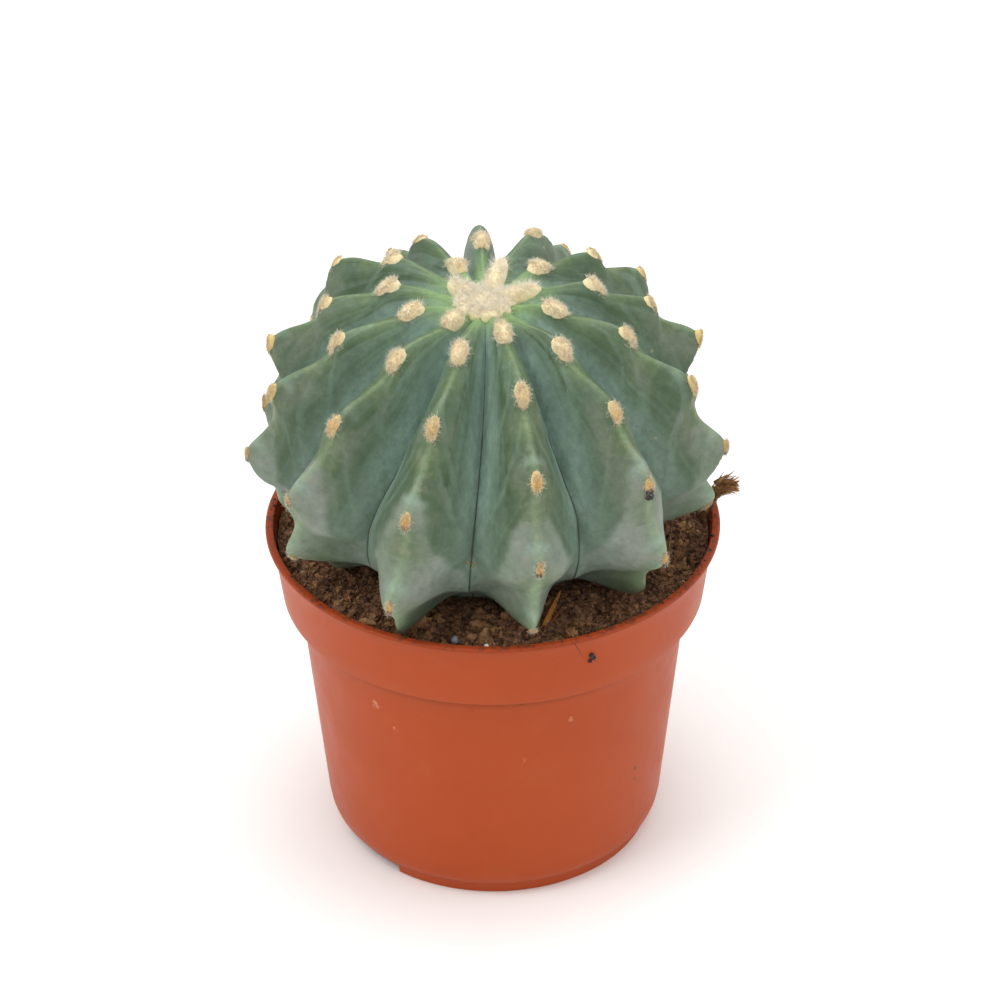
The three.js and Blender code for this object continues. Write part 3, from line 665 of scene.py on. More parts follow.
# Streaks run along the rib, one or two millimetres wide and centimetres long.
flank_place = add(tree, "ShaderNodeCombineXYZ", {"X": across, "Y": polar, "Z": rib}).outputs[0]
streaks, threads = [
    add(tree, "ShaderNodeTexNoise", {
        "Vector": add(tree, "ShaderNodeMapping", {"Vector": flank_place, "Scale": scale}).outputs[0],
        "Scale": 1, "Detail": detail, "Distortion": distortion,
    }).outputs["Fac"]
    for scale, detail, distortion in (((7, 1.1, 7), 3, 0.1), ((15, 1.6, 5), 2, 0.3))
]

# The chevron is the polar angle, which lags behind towards the furrow, with a ragged edge.
lag = add(tree, "ShaderNodeMath", {0: aside, 1: 0.37}, operation="MULTIPLY").outputs[0]
chevron = add(tree, "ShaderNodeMath", {0: polar, 1: lag}, operation="SUBTRACT").outputs[0]
ragged = add(tree, "ShaderNodeMapRange", {
    "Value": patches, "From Min": 0.3, "From Max": 0.7, "To Min": -0.03, "To Max": 0.03,
}).outputs["Result"]
chevron = add(tree, "ShaderNodeMath", {0: chevron, 1: ragged}, operation="ADD").outputs[0]
band_place = add(tree, "ShaderNodeCombineXYZ", {"X": chevron, "Y": rib}).outputs[0]
bands = add(tree, "ShaderNodeTexNoise", {"Vector": band_place, "Scale": 13, "Detail": 1}).outputs["Fac"]
print("the skin's patterns follow the ribs, the areoles and", len(tree.nodes), "nodes")

# %% Material of the skin: coats of colour, from the tissue outwards
FURROW_SIDE = (aside, 0.1, 0.75, 0.3, 1)
bloom = lay_coats(tree, "#707d6b", [("#828c82", (patches, 0.35, 0.65, 0, 1))])
skin_colour = lay_coats(tree, "#3e5336", [
    # Green tissue, deeper and more olive in patches.
    ("#536a4a", (patches, 0.35, 0.65, 0, 1)),
    # Blue-grey wax towards the furrow, where nothing rubs it off, with soft streaks and fine threads. The
    # first coat is also painted light: it is lighter than the wax, to offset the shade deep in the furrow.
    ("#9cb4a8", (aside, 0.48, 0.88, 0, 0.85)),
    ("#7f968b", (streaks, 0.4, 0.64, 0, 0.5), FURROW_SIDE),
    ("#8fa79b", (threads, 0.45, 0.7, 0, 0.12), FURROW_SIDE),
    # The darker green band just above the chevron, and fainter bands along it.
    ("#42553d", (chevron, 0.2, 0.52, 0, 0.64)),
    ("#748878", (bands, 0.5, 0.66, 0, 0.42)),
    # Grey bloom below the chevron, with a touch of mauve beside the crest.
    (bloom, (chevron, 0.59, 0.65, 0, 0.8)),
    ("#8a837c", (aside, 0.05, 0.25, 0, 1), (aside, 0.35, 0.6, 1, 0), (polar, 0.35, 0.5, 0, 1),
     (patches, 0.45, 0.6, 0, 0.25)),
    # Olive tissue along the crest, most of all right below an areole, with a corky tinge on it.
    ("#566a41", (aside, 0.05, 0.5, 1, 0), (areole_drop, -2, 5, 0.15, 0.6)),
    ("#776f62", (aside, 0.04, 0.36, 1, 0), (polar, 0.3, 0.7, 0.2, 1), (mottle, 0.48, 0.62, 0, 0.42)),
    # The crest itself is lighter, partly its own colour and partly a painted highlight along its edge, and a
    # fresher green on the toes.
    ("#8fa47c", (aside, 0.01, 0.13, 0.5, 0), (patches,)),
    ("#879c7d", (aside, 0.02, 0.16, 0.45, 0), (polar, 0.78, 0.88, 0, 1)),
    # Young tissue round the crown.
    ("#89aa6d", (polar, 0.08, 0.25, 0.8, 0)),
    # A painted highlight: a pale crescent round the upper end of an older areole, on the top of the swelling
    # of the crest.
    ("#8ea698", (areole_distance, 3.6, 5.2, 0, 1), (areole_distance, 5.6, 8, 1, 0),
     (areole_drop, -5, -1, 0.32, 0), (polar, 0.45, 0.6, 0, 1)),
])

# %% Material of the skin: grain, scars, furrow lines and gloss
skin_colour = vary_brightness(tree, skin_colour, mottle, 0.35, 0.65, 0.84, 1.14)
skin_colour = lay_coats(tree, skin_colour, [
    # Dark pores and a few small corky scars.
    ("#3c5238", (pores, 0.05, 0.3, 0.25, 0)),
    ("#a09676", (scars, 0.04, 0.1, 1, 0), (patches, 0.53, 0.6, 0, 0.75)),
    # Painted shade: the dark line at the bottom of a furrow, where the crease is deepest.
    ("#263226", (aside, 0.972, 0.995, 0, 0.9)),
])
wax = add(tree, "ShaderNodeMapRange", {
    "Value": mottle, "From Min": 0.3, "From Max": 0.7, "To Min": 0.48, "To Max": 0.62,
}).outputs["Result"]
peel = add(tree, "ShaderNodeBump", {"Height": mottle, "Strength": 0.25, "Distance": 0.0006}).outputs[0]
fine = add(tree, "ShaderNodeBump", {
    "Height": pores, "Strength": 0.12, "Distance": 0.0003, "Normal": peel,
}).outputs[0]
tree.links.new(skin_colour, shader.inputs["Base Color"])
tree.links.new(wax, shader.inputs["Roughness"])
tree.links.new(fine, shader.inputs["Normal"])
wear(skin_material, body)

# %% [markdown]
# ## Copies of one small shape
#
# Wool pads, hairs and crumbs each repeat one shape hundreds of times. The shape is modelled once,
# and each copy is that shape stretched, turned and moved in its own way. Copies made as separate
# objects would be slow, so they are written straight into one mesh, each with vertices of its own.
# What differs from copy to copy, such as age, is kept as an attribute.

# %% Make copies
def shape_of(piece):
    """The vertices and faces of a small shape, which is then removed."""
    vertices = points_of(piece)
    faces = [tuple(face.vertices) for face in piece.data.polygons]
    bpy.data.objects.remove(piece)
    return vertices, faces


def copies(name, vertices, faces, angle=180, **attributes):
    """One mesh from an array of copies by vertices by three, in mm, and values per copy or vertex."""
    number, size = vertices.shape[:2]
    corners = np.concatenate([np.array(face) for face in faces])
    lengths = np.array([len(face) for face in faces])
    all_corners = (corners[None, :] + (np.arange(number) * size)[:, None]).ravel()
    all_lengths = np.tile(lengths, number)
    mesh = bpy.data.meshes.new(name)
    mesh.vertices.add(number * size)
    mesh.vertices.foreach_set("co", (vertices * MM).ravel())
    mesh.loops.add(len(all_corners))
    mesh.loops.foreach_set("vertex_index", all_corners)
    mesh.polygons.add(len(all_lengths))
    mesh.polygons.foreach_set("loop_start", np.concatenate(([0], np.cumsum(all_lengths)[:-1])))
    mesh.update()
    mesh.validate()
    piece = bpy.data.objects.new(name, mesh)
    bpy.context.scene.collection.objects.link(piece)
    for attribute_name, values in attributes.items():
        values = np.asarray(values, dtype=float)
        if values.ndim == 1:
            values = np.repeat(values[:, None], size, axis=1)
        give_attribute(piece, attribute_name, values.ravel())
    take_shape(piece, name, angle)
    return piece


# %% [markdown]
# ### One strand of wool
#
# A hair is a three-sided spike, cut in two so that it can curl. At this size nobody sees its sides,
# and thousands of them must stay light. Every copy gets its own root, way, length and curl, and is
# thick at the root and pointed at the tip.

# %% Model one hair and comb it
deselect_all()
bpy.ops.mesh.primitive_cone_add(vertices=3, radius1=1, radius2=0.12, depth=1, location=(0, 0, 0.5))
bpy.ops.object.transform_apply(location=True)
bpy.ops.object.mode_set(mode="EDIT")
bpy.ops.mesh.select_all(action="SELECT")
bpy.ops.mesh.bisect(plane_co=(0, 0, 0.5), plane_no=(0, 0, 1))
bpy.ops.object.mode_set(mode="OBJECT")
HAIR_SHAPE, HAIR_FACES = shape_of(bpy.context.object)


def comb(name, roots, ways, lengths, thickness, curl, random, flatness=1, **attributes):
    """Hairs from roots, along ways, that curl to a side by a share of their length.

    A flatness below one makes ribbons of them.
    """
    number = len(roots)
    ways = ways / np.linalg.norm(ways, axis=1)[:, None]
    helper = random.normal(size=(number, 3))
    side = np.cross(ways, helper)
    side /= np.linalg.norm(side, axis=1)[:, None]
    other = np.cross(ways, side)
    x, y, z = HAIR_SHAPE.T
    bend = (curl * random.uniform(0.3, 1, number))[:, None] * z**2
    sway = (0.5 * curl * random.normal(size=number))[:, None] * np.sin(5 * z)
    reach = lengths[:, None, None]
    width = np.reshape(thickness * np.ones(number), (-1, 1, 1))
    vertices = (
        roots[:, None, :]
        + ways[:, None, :] * reach * z[None, :, None]
        + side[:, None, :] * (reach * bend[:, :, None] + width * flatness * x[None, :, None])
        + other[:, None, :] * (reach * (0.3 * sway)[:, :, None] + width * y[None, :, None])
    )
    return copies(name, vertices, HAIR_FACES, tip=np.tile(z, (number, 1)), **attributes)


print("one hair has", len(HAIR_FACES), "faces")

# %% [markdown]
# ## Areoles
#
# An areole is the cushion from which a cactus would grow its spines. Here it is a felted oval pad of
# short cream wool. Near the crown it is big and fresh; lower down it is smaller and yellow to tan,
# golden in its middle, with a brown pit at its lower end where the wool has worn away. The pad is a
# lumpy sphere pressed into an oval, and a fur of fine hairs stands out of it all round.

# %% Areoles: felted pads
random = np.random.default_rng(5)
deselect_all()
bpy.ops.mesh.primitive_ico_sphere_add(subdivisions=4, radius=1)
PAD_SHAPE, PAD_FACES = shape_of(bpy.context.object)
# A felted pad is a little boxier than an egg: a higher power takes the place of the squares.
PAD_SHAPE /= (np.abs(PAD_SHAPE) ** 2.4).sum(axis=1)[:, None] ** (1 / 2.4)
PAD_SINK = 0.75
PAD_RIM = np.hypot(PAD_SHAPE[:, 0], PAD_SHAPE[:, 1])
pad_vertices, pad_age, pad_down = [], [], []
for areole in AREOLES:
    shape = PAD_SHAPE.copy()
    age = areole["age"]
    seed = Vector(random.uniform(-50, 50, 3))
    lumps = np.array([noise.fractal(Vector(p) * 4.5 + seed, 0.6, 2.3, 4) for p in shape])
    shape *= (1 + 0.07 * lumps)[:, None]
    down = PAD_SHAPE[:, 1].copy()
    narrow = 1 - 0.5 * age * np.clip(-down, 0, 1)
    pit = age * np.exp(-((down - 0.45) ** 2 + PAD_SHAPE[:, 0] ** 2) / 0.12) * (PAD_SHAPE[:, 2] > 0)
    local = np.column_stack((
        shape[:, 0] * areole["width"] / 2 * 0.9 * narrow,
        shape[:, 1] * areole["length"] / 2 * 0.92,
        (shape[:, 2] - 0.5 * pit) * (areole["height"] + PAD_SINK) - PAD_SINK,
    ))
    axes = np.array([areole["across"], areole["along"], areole["outward"]])
    pad_vertices.append(np.array(areole["point"]) + local @ axes)
    pad_age.append(np.full(len(shape), age))
    pad_down.append(down)
pads = copies(
    "areole_wool", np.array(pad_vertices), PAD_FACES, age=np.array(pad_age), down=np.array(pad_down),
    rim=np.tile(PAD_RIM, (len(AREOLES), 1)), shade=np.full(len(AREOLES), 0.5),
)
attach(pads, "root")

# %% Areoles: hairs
def areole_hairs(name, chosen, number):
    """Hairs that stand out of the pads, longest and most numerous round young ones."""
    roots, ways, lengths, ages, downs, rims = [], [], [], [], [], []
    for areole in chosen:
        age = areole["age"]
        axes = np.array([areole["across"], areole["along"], areole["outward"]])
        count = int(number * (1 - 0.6 * age))
        angle = random.uniform(0, 2 * math.pi, count)
        spread = random.uniform(0, 1, count) ** 0.46
        flat_x, flat_y = spread * np.cos(angle), spread * np.sin(angle)
        rise = np.maximum(1 - spread**3, 0) ** 0.4
        local = np.column_stack((
            flat_x * areole["width"] / 2 * 0.92, flat_y * areole["length"] / 2 * 0.96,
            rise * (areole["height"] + PAD_SINK) * 0.97 - PAD_SINK,
        ))
        local[:, 2] = np.maximum(local[:, 2], -0.25)
        way = np.column_stack((flat_x, flat_y, 0.4 * rise + 0.15))
        way += random.normal(scale=0.6, size=way.shape)
        way[:, 2] = np.maximum(way[:, 2], -0.05)
        roots.append(np.array(areole["point"]) + local @ axes)
        ways.append(way @ axes)
        lengths.append(random.uniform(0.4, 1, count) ** 1.6 * (2 - 0.8 * age) * (0.5 + 0.5 * spread**4))
        ages.append(np.full(count, age))
        downs.append(flat_y)
        rims.append(spread)
    return comb(
        name, np.concatenate(roots), np.concatenate(ways), np.concatenate(lengths), 0.055, 0.75, random,
        age=np.concatenate(ages), down=np.concatenate(downs), rim=np.concatenate(rims),
        shade=random.uniform(0, 1, sum(len(age) for age in ages)),
    )


areole_fur = []
for name, upper, lower, number in [
    ("areole_hairs_young", 0, 32, 780),
    ("areole_hairs_grown", 32, 50, 780),
    ("areole_hairs_old", 50, 180, 600),
]:
    chosen = [areole for areole in AREOLES if upper <= areole["polar"] < lower]
    fur = areole_hairs(name, chosen, number)
    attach(fur, "root")
    areole_fur.append(fur)

# %% [markdown]
# ## Wool in the crown
#
# At the growing point the areoles stand so close that their wool runs together in a star. It is a
# soft heap in the middle with an arm out to each of the youngest areoles. The heap is lumpy and low,
# and long silky hairs lie over it, mostly combed outwards along the arms.

# %% Crown: heap and arms
crown_point = Vector(plant_surface(np.zeros(1), np.zeros(1))[0][0])
lobes = [(crown_point + Vector((0, -1, 0.6)), Vector((0, -1, 0)), Vector((0, 0, 1)), 7.8, 7.6, 3.1)]
for rib, polar in WOOL_ARMS:
    reach = crest_place(rib, polar)[0] - crown_point
    along = reach.normalized()
    outward = (Vector((0, 0, 1)) - along * along.z).normalized()
    lobes.append((crown_point + reach * 0.6, along, outward, 0.56 * reach.length, 2.5, 2.7))
SMALL_LOBES = [
    (10, 4.6, 3.2), (50, 4.8, 2.6), (90, 5, 3), (125, 4.6, 2.6), (185, 4.4, 3), (215, 4.6, 2.6),
    (262, 5, 3.1), (300, 4.8, 3.2), (338, 4.6, 2.7),
]
for azimuth, radius, size in SMALL_LOBES:
    angle = math.radians(azimuth)
    along = Vector((math.sin(angle), -math.cos(angle), 0.1)).normalized()
    outward = (Vector((0, 0, 1)) - along * along.z).normalized()
    middle = crown_point + Vector((0, -1, 0.5)) + along * radius
    lobes.append((middle, along, outward, 3.4, size * 1.15, 2.4))

lobe_vertices = []
for middle, along, outward, length, width, height in lobes:
    seed = Vector(random.uniform(-50, 50, 3))
    lumps = np.array([noise.fractal(Vector(p) * 4 + seed, 0.6, 2.3, 5) for p in PAD_SHAPE])
    shape = PAD_SHAPE * (1 + 0.05 * lumps)[:, None] * np.array((width, length, height)) * 0.92
    axes = np.array([along.cross(outward), along, outward])
    lobe_vertices.append(np.array(middle) + shape @ axes)
crown = copies("crown_wool_heap", np.array(lobe_vertices), PAD_FACES, shade=np.full(len(lobes), 0.5))
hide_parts("crown_wool")
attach(crown, "root")

# %% Crown: long silky hairs
roots, ways, lengths = [], [], []
for number, (middle, along, outward, length, width, height) in enumerate(lobes):
    count = 3000 if number == 0 else 1150 if number <= len(WOOL_ARMS) else 520
    angle = random.uniform(0, 2 * math.pi, count)
    spread = np.sqrt(random.uniform(0, 1, count))
    flat_x, flat_y = spread * np.cos(angle), spread * np.sin(angle)
    rise = np.maximum(1 - spread**2.8, 0) ** 0.36
    axes = np.array([along.cross(outward), along, outward])
    local = np.column_stack((flat_x * width, flat_y * length, rise * height)) * 0.88
    way = np.column_stack((flat_x, flat_y, 0.25 * rise + 0.1))
    way += random.normal(scale=0.75, size=way.shape)
    roots.append(np.array(middle) + local @ axes)
    ways.append(way @ axes)
    lengths.append(random.uniform(0.4, 1, count) ** 1.3 * 2.5)
roots, ways, lengths = np.concatenate(roots), np.concatenate(ways), np.concatenate(lengths)
crown_fur = comb(
    "crown_hairs", roots, ways, lengths, 0.055, 0.9, random,
    shade=random.uniform(0, 1, len(roots)),
)
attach(crown_fur, "root")

# %% [markdown]
# ### Plant wool
#
# Plant wool is made of dead hollow hairs, so it is white to cream and quite dull, and lets a little
# light through. It yellows with age and its pits turn tan to brown. The attributes age, down and rim
# say how old a pad is, how far down it a place is and how near its rim, and tip is 1 at a hair's end.

# %% Material of the wool on the areoles
wool_material, tree, shader = new_material(
    "felted_plant_wool", Roughness=0.95, Specular_IOR_Level=0.2, Sheen_Weight=0.25,
    Subsurface_Weight=0.2, Subsurface_Radius=(1.0, 0.85, 0.6), Subsurface_Scale=0.0008,
)
age, down, rim, tip, shade = [
    add(tree, "ShaderNodeAttribute", attribute_name=name).outputs["Fac"]
    for name in ("age", "down", "rim", "tip", "shade")
]
place = add(tree, "ShaderNodeTexCoord").outputs["Object"]
# Clots of half a millimetre, and a drift from one end of a pad to the other.
clumps = add(tree, "ShaderNodeTexNoise", {
    "Vector": place, "Scale": 2200, "Detail": 5, "Roughness": 0.65,
}).outputs["Fac"]
drift = add(tree, "ShaderNodeTexNoise", {"Vector": place, "Scale": 160, "Detail": 3}).outputs["Fac"]
YELLOWED = (age, 0.05, 0.6, 0, 0.85, "LINEAR")
wool_colour = lay_coats(tree, "#e2cb96", [
    ("#f9ebca", (clumps,)),
    ("#d0b16a", YELLOWED),
    ("#b08a58", (age, 0.55, 0.95, 0, 0.75, "LINEAR")),
    # The middle of an old pad is golden, and the lower end has a brown pit.
    ("#cf9f4a", (rim, 0.3, 0.95, 1, 0), YELLOWED),
    ("#4a301b", (down, 0.15, 0.75, 0, 1), (age, 0.45, 0.85, 0, 2.2), (drift,)),
    # The tips of the hairs are bleached; the pads have no tips.
    ("#fff4dc", (tip, 0.1, 1, 0, 0.85, "LINEAR")),
])
# Strand by strand and clot by clot the wool is a little lighter or darker.
shade = add(tree, "ShaderNodeMath", {0: shade, 1: clumps}, operation="ADD").outputs[0]
wool_colour = vary_brightness(tree, wool_colour, shade, 0.7, 1.3, 0.86, 1.18)
felt = add(tree, "ShaderNodeBump", {"Height": clumps, "Strength": 0.6, "Distance": 0.0003}).outputs[0]
tree.links.new(wool_colour, shader.inputs["Base Color"])
tree.links.new(felt, shader.inputs["Normal"])
wear(wool_material, pads, *areole_fur)

# %% Materials of the wool in the crown
# This wool is of this year and whiter. Its hairs are too fine to show a grain.
for name, piece, dark, light in [
    ("fresh_crown_felt", crown, "#f1d7a0", "#fdefca"), ("silky_crown_hair", crown_fur, "#fdecc4", "#fff9e8"),
]:
    material, tree, shader = new_material(
        name, Roughness=0.95, Specular_IOR_Level=0.2, Sheen_Weight=0.6,
        Subsurface_Weight=0.4, Subsurface_Radius=(1.0, 0.85, 0.6), Subsurface_Scale=0.001,
    )
    place = add(tree, "ShaderNodeTexCoord").outputs["Object"]
    clumps = add(tree, "ShaderNodeTexNoise", {"Vector": place, "Scale": 1100, "Detail": 4}).outputs["Fac"]
    shade = add(tree, "ShaderNodeAttribute", attribute_name="shade").outputs["Fac"]
    shade = add(tree, "ShaderNodeMath", {0: shade, 1: clumps}, operation="ADD").outputs[0]
    colour = lay_coats(tree, dark, [(light, (shade, 0.55, 1.45, 0, 1, "LINEAR"))])
    tree.links.new(colour, shader.inputs["Base Color"])
    wear(material, piece)

# %% [markdown]
# ## Peat
#
# Potting peat is a bed of dark crumbs and fibres. The bed itself is one closed piece with an uneven
# top and a round hole for the neck. It starts as a sphere again: the upper rings are laid out flat,
# from the hole to the wall, and the lower ones go down along the pot. Loose crumbs and fibres are
# scattered over it afterwards, and do most for the look.

# %% Peat: the bed
PEAT_HOLE_RADIUS, PEAT_HOLE_BOTTOM = 33.95, 71.7
PEAT_EDGE_RADIUS = 56.9
ripple_random = np.random.default_rng(11)
RIPPLES = [
    (ripple_random.uniform(0, 2 * math.pi), length, ripple_random.uniform(0, 2 * math.pi))
    for length in (23, 17, 12, 9, 7, 5.5, 4.3, 3.4, 2.7, 2.1, 1.7, 1.35) for _ in range(3)
]


def peat_height(x, y):
    """Height of the top of the bed: a slope from the plant to the wall, with uneven lumps."""
    distance = np.hypot(x, y)
    level = 88.9 - 1.2 * smooth(distance, 38, 55)
    lumps = 0
    for way, length, start in RIPPLES:
        run = x * math.cos(way) + y * math.sin(way)
        lumps = lumps + 0.042 * length**0.75 * np.sin(2 * math.pi / length * run + start)
    return level + np.clip(lumps, -1.1, 0.9) * (0.4 + 0.6 * smooth(distance, 34, 42))


PEAT_SEGMENTS, PEAT_ROWS = 640, 72
PEAT_BOTTOM = 4.15
WALL_ROWS = [
    (56.5, 84), (55.6, 76), (54.7, 73.3), (50.4, 72.9), (47.6, 42), (44.4, 9.2), (43.4, 5.8),
    (41, PEAT_BOTTOM),
]
TOP_ROWS = PEAT_ROWS - len(WALL_ROWS) - 3
deselect_all()
bpy.ops.mesh.primitive_uv_sphere_add(segments=PEAT_SEGMENTS, ring_count=PEAT_ROWS, radius=1)
peat = bpy.context.object
sphere = points_of(peat)
row = np.rint(np.arccos(np.clip(sphere[:, 2], -1, 1)) / math.pi * PEAT_ROWS).astype(int)
angle = np.arctan2(sphere[:, 0], -sphere[:, 1])
way = np.clip((row - 2) / TOP_ROWS, 0, 1)
middle_x, middle_y = PLANT_X * (1 - way), PLANT_Y * (1 - way)
radius = PEAT_HOLE_RADIUS + (PEAT_EDGE_RADIUS - PEAT_HOLE_RADIUS) * way
x, y = middle_x + radius * np.sin(angle), middle_y - radius * np.cos(angle)
z = peat_height(x, y)
z[row == 1] = PEAT_HOLE_BOTTOM
for number, (wall_radius, wall_height) in enumerate(WALL_ROWS):
    here = row == TOP_ROWS + 3 + number
    x[here], y[here] = wall_radius * np.sin(angle[here]), -wall_radius * np.cos(angle[here])
    z[here] = wall_height
x[row == 0], y[row == 0], z[row == 0] = PLANT_X, PLANT_Y, PEAT_HOLE_BOTTOM
x[row == PEAT_ROWS], y[row == PEAT_ROWS], z[row == PEAT_ROWS] = 0, 0, PEAT_BOTTOM
move_points(peat, np.column_stack((x, y, z)) * MM)
take_shape(peat, "peat_bed", 60)
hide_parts("potting_peat")
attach(peat, "root")

# %% Peat: crumbs
def scatter_places(number, inner, outer):
    """Random places in the open ring of peat between the plant and the wall."""
    radius = np.sqrt(random.uniform(inner**2, outer**2, number))
    azimuth = random.uniform(0, 2 * math.pi, number)
    return radius * np.sin(azimuth), -radius * np.cos(azimuth)


def random_turns(number):
    turns = random.normal(size=(number, 4))
    w, x, y, z = (turns / np.linalg.norm(turns, axis=1)[:, None]).T
    return np.stack([
        np.stack([1 - 2 * (y * y + z * z), 2 * (x * y - w * z), 2 * (x * z + w * y)], 1),
        np.stack([2 * (x * y + w * z), 1 - 2 * (x * x + z * z), 2 * (y * z - w * x)], 1),
        np.stack([2 * (x * z - w * y), 2 * (y * z + w * x), 1 - 2 * (x * x + y * y)], 1),
    ], 1)


def crumbs(name, number, sizes, subdivisions, inner, outer, sink, angle):
    """Rough balls of many sizes, stretched and turned at random and half sunk in the bed."""
    bpy.ops.mesh.primitive_ico_sphere_add(subdivisions=subdivisions, radius=1)
    shape, faces = shape_of(bpy.context.object)
    x, y = scatter_places(number, inner, outer)
    size = sizes[0] + (sizes[1] - sizes[0]) * random.uniform(0, 1, number) ** 2.2
    rough = shape[None] * (1 + random.normal(scale=0.24, size=(number, len(shape), 1)))
    stretched = rough * random.uniform(0.35, 1, (number, 1, 3)) * size[:, None, None] / 2
    turned = np.einsum("nij,nvj->nvi", random_turns(number), stretched)
    z = peat_height(x, y) + size * (0.5 - sink) * 0.5
    vertices = turned + np.stack((x, y, z), 1)[:, None, :]
    return copies(name, vertices, faces, angle, tone=random.uniform(0, 1, number))


deselect_all()
small_crumbs = crumbs("peat_crumbs_small", 8000, (0.5, 2.4), 1, 35.5, 56, 0.15, 40)
big_crumbs = crumbs("peat_crumbs_big", 820, (1.6, 5), 2, 37, 54.5, 0.4, 40)
clods = crumbs("peat_clods", 90, (3.5, 6.5), 3, 40, 53, 0.5, 50)
for piece in (small_crumbs, big_crumbs, clods):
    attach(piece, "root")

# %% Peat: fibres
x, y = scatter_places(5200, 35.5, 55.5)
roots = np.column_stack((x, y, peat_height(x, y) + random.uniform(-0.1, 0.6, len(x))))
ways = random.normal(size=(len(x), 3)) * np.array((1, 1, 0.28))
lengths = random.uniform(0, 1, len(x)) ** 2 * 5 + 0.8
fibres = comb(
    "peat_fibres", roots, ways, lengths, random.uniform(0.05, 0.17, len(x)), 0.5, random,
    tone=random.uniform(0, 1, len(x)),
)
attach(fibres, "root")

# %% [markdown]
# ### Moist peat
#
# Moist peat is dark brown, nearly black in its gaps, with crumbs from chocolate to reddish brown and
# fibres from dark to straw. It is rough, and a few wet faces glint. The attribute tone gives each
# crumb and fibre its own shade, and noise with grains of 1.4 mm and clouds of 6 mm breaks it up.

# %% Material of the peat
def peat_material(name, dark, middle, light, roughness):
    """Rough crumbs or fibres, each with a tone of its own between a dark and a light brown."""
    material, tree, shader = new_material(name, Roughness=roughness, Specular_IOR_Level=0.35)
    place = add(tree, "ShaderNodeTexCoord").outputs["Object"]
    tone = add(tree, "ShaderNodeAttribute", attribute_name="tone").outputs["Fac"]
    grains = add(tree, "ShaderNodeTexNoise", {
        "Vector": place, "Scale": 700, "Detail": 6, "Roughness": 0.7,
    }).outputs["Fac"]
    clouds = add(tree, "ShaderNodeTexNoise", {"Vector": place, "Scale": 180, "Detail": 4}).outputs["Fac"]
    colour = lay_coats(tree, dark, [
        (middle, (grains, 0.36, 0.68, 0, 1, "LINEAR")),
        (light, (tone, 0.5, 1, 0, 0.9, "LINEAR"), (clouds,)),
    ])
    bump = add(tree, "ShaderNodeBump", {"Height": grains, "Strength": 0.9, "Distance": 0.0008}).outputs[0]
    tree.links.new(colour, shader.inputs["Base Color"])
    tree.links.new(bump, shader.inputs["Normal"])
    return material


crumb_material = peat_material("moist_peat", "#21140d", "#9a6d4e", "#dba56c", 0.8)
wear(crumb_material, peat, small_crumbs, big_crumbs, clods)
wear(peat_material("peat_fibre", "#5a3b24", "#9a6c40", "#dcb079", 0.75), fibres)

# %% [markdown]
# ## Litter
#
# A frayed tuft of peat fibre stands over the lip at the right. It is a stem of stiff fibres that opens
# into a brush, with a bundle of flat brown shreds. At the front a sliver of split straw stands out of
# the peat.

# %% Tuft over the lip
TUFT_PATH = np.array([
    (54.4, 3.6, 88.2), (55.8, 3.6, 91), (57.4, 3.8, 93.6), (58.4, 4, 96.6), (59.8, 4.3, 98.6),
    (61.8, 4.6, 98.8),
])
TUFT_END = 65.2


def tuft_part(name, count, lengths, widths, flatness, curl):
    """Fibres along the stem of the tuft, which spread where it is frayed."""
    start = random.uniform(0, 1, count) ** 0.7 * (len(TUFT_PATH) - 1.05)
    at = np.floor(start).astype(int)
    part = (start - at)[:, None]
    spine = TUFT_PATH[at] * (1 - part) + TUFT_PATH[at + 1] * part
    lead = TUFT_PATH[at + 1] - TUFT_PATH[at]
    lead /= np.linalg.norm(lead, axis=1)[:, None]
    frayed = smooth(start, 2.2, 3.6)[:, None]
    spread = np.array((0.9, 0.9, 1.5))
    roots = spine + random.normal(scale=0.28, size=(count, 3)) * (0.7 + 1.6 * frayed) * spread
    ways = lead + np.array((0.35, 0, -0.12)) * frayed
    ways += random.normal(scale=1, size=(count, 3)) * (0.1 + 0.28 * frayed)
    piece = comb(
        name, roots, ways, random.uniform(*lengths, count), random.uniform(*widths, count), curl, random,
        flatness, tone=random.uniform(0, 1, count),
    )
    points = points_of(piece)
    points[:, 0] = np.minimum(points[:, 0], TUFT_END * MM)
    move_points(piece, points)
    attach(piece, "root")
    return piece


tuft = tuft_part("frayed_peat_fibre", 600, (1.2, 3.6), (0.05, 0.14), 1, 0.35)
tuft_shreds = tuft_part("peat_shreds", 210, (2.8, 5.4), (0.4, 0.8), 0.22, 0.22)
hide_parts("fibre_tuft")
wear(peat_material("peat_bark_fibre", "#7a4f2e", "#c08853", "#e3b67c", 0.7), tuft, tuft_shreds)

# %% Straw
# Split straw is orange and smooth, with a grain of 2 mm by a third of one. The solid has the shape
# already and takes only this finish.
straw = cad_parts["straw_sliver"]
straw_material, tree, shader = new_material("split_dry_straw", Roughness=0.55)
place = add(tree, "ShaderNodeTexCoord").outputs["Object"]
along_grain = add(tree, "ShaderNodeMapping", {"Vector": place, "Scale": (3000, 500, 500)}).outputs[0]
grain = add(tree, "ShaderNodeTexNoise", {"Vector": along_grain, "Scale": 1, "Detail": 4}).outputs["Fac"]
straw_colour = lay_coats(tree, "#a8622a", [("#dd9a4c", (grain,))])
tree.links.new(straw_colour, shader.inputs["Base Color"])
wear(straw_material, straw)

# %% [markdown]
# ### Bits and crumbs
#
# Small things lie about on the peat and cling to the plant and pot, as they do after repotting:
# splinters of straw, a twig, a grain of perlite, a pebble, crumbs on the lip and under an old areole.
# The long ones are combed like hairs, each with its own root and way. The round ones are small rough
# balls, each stretched in its own way.

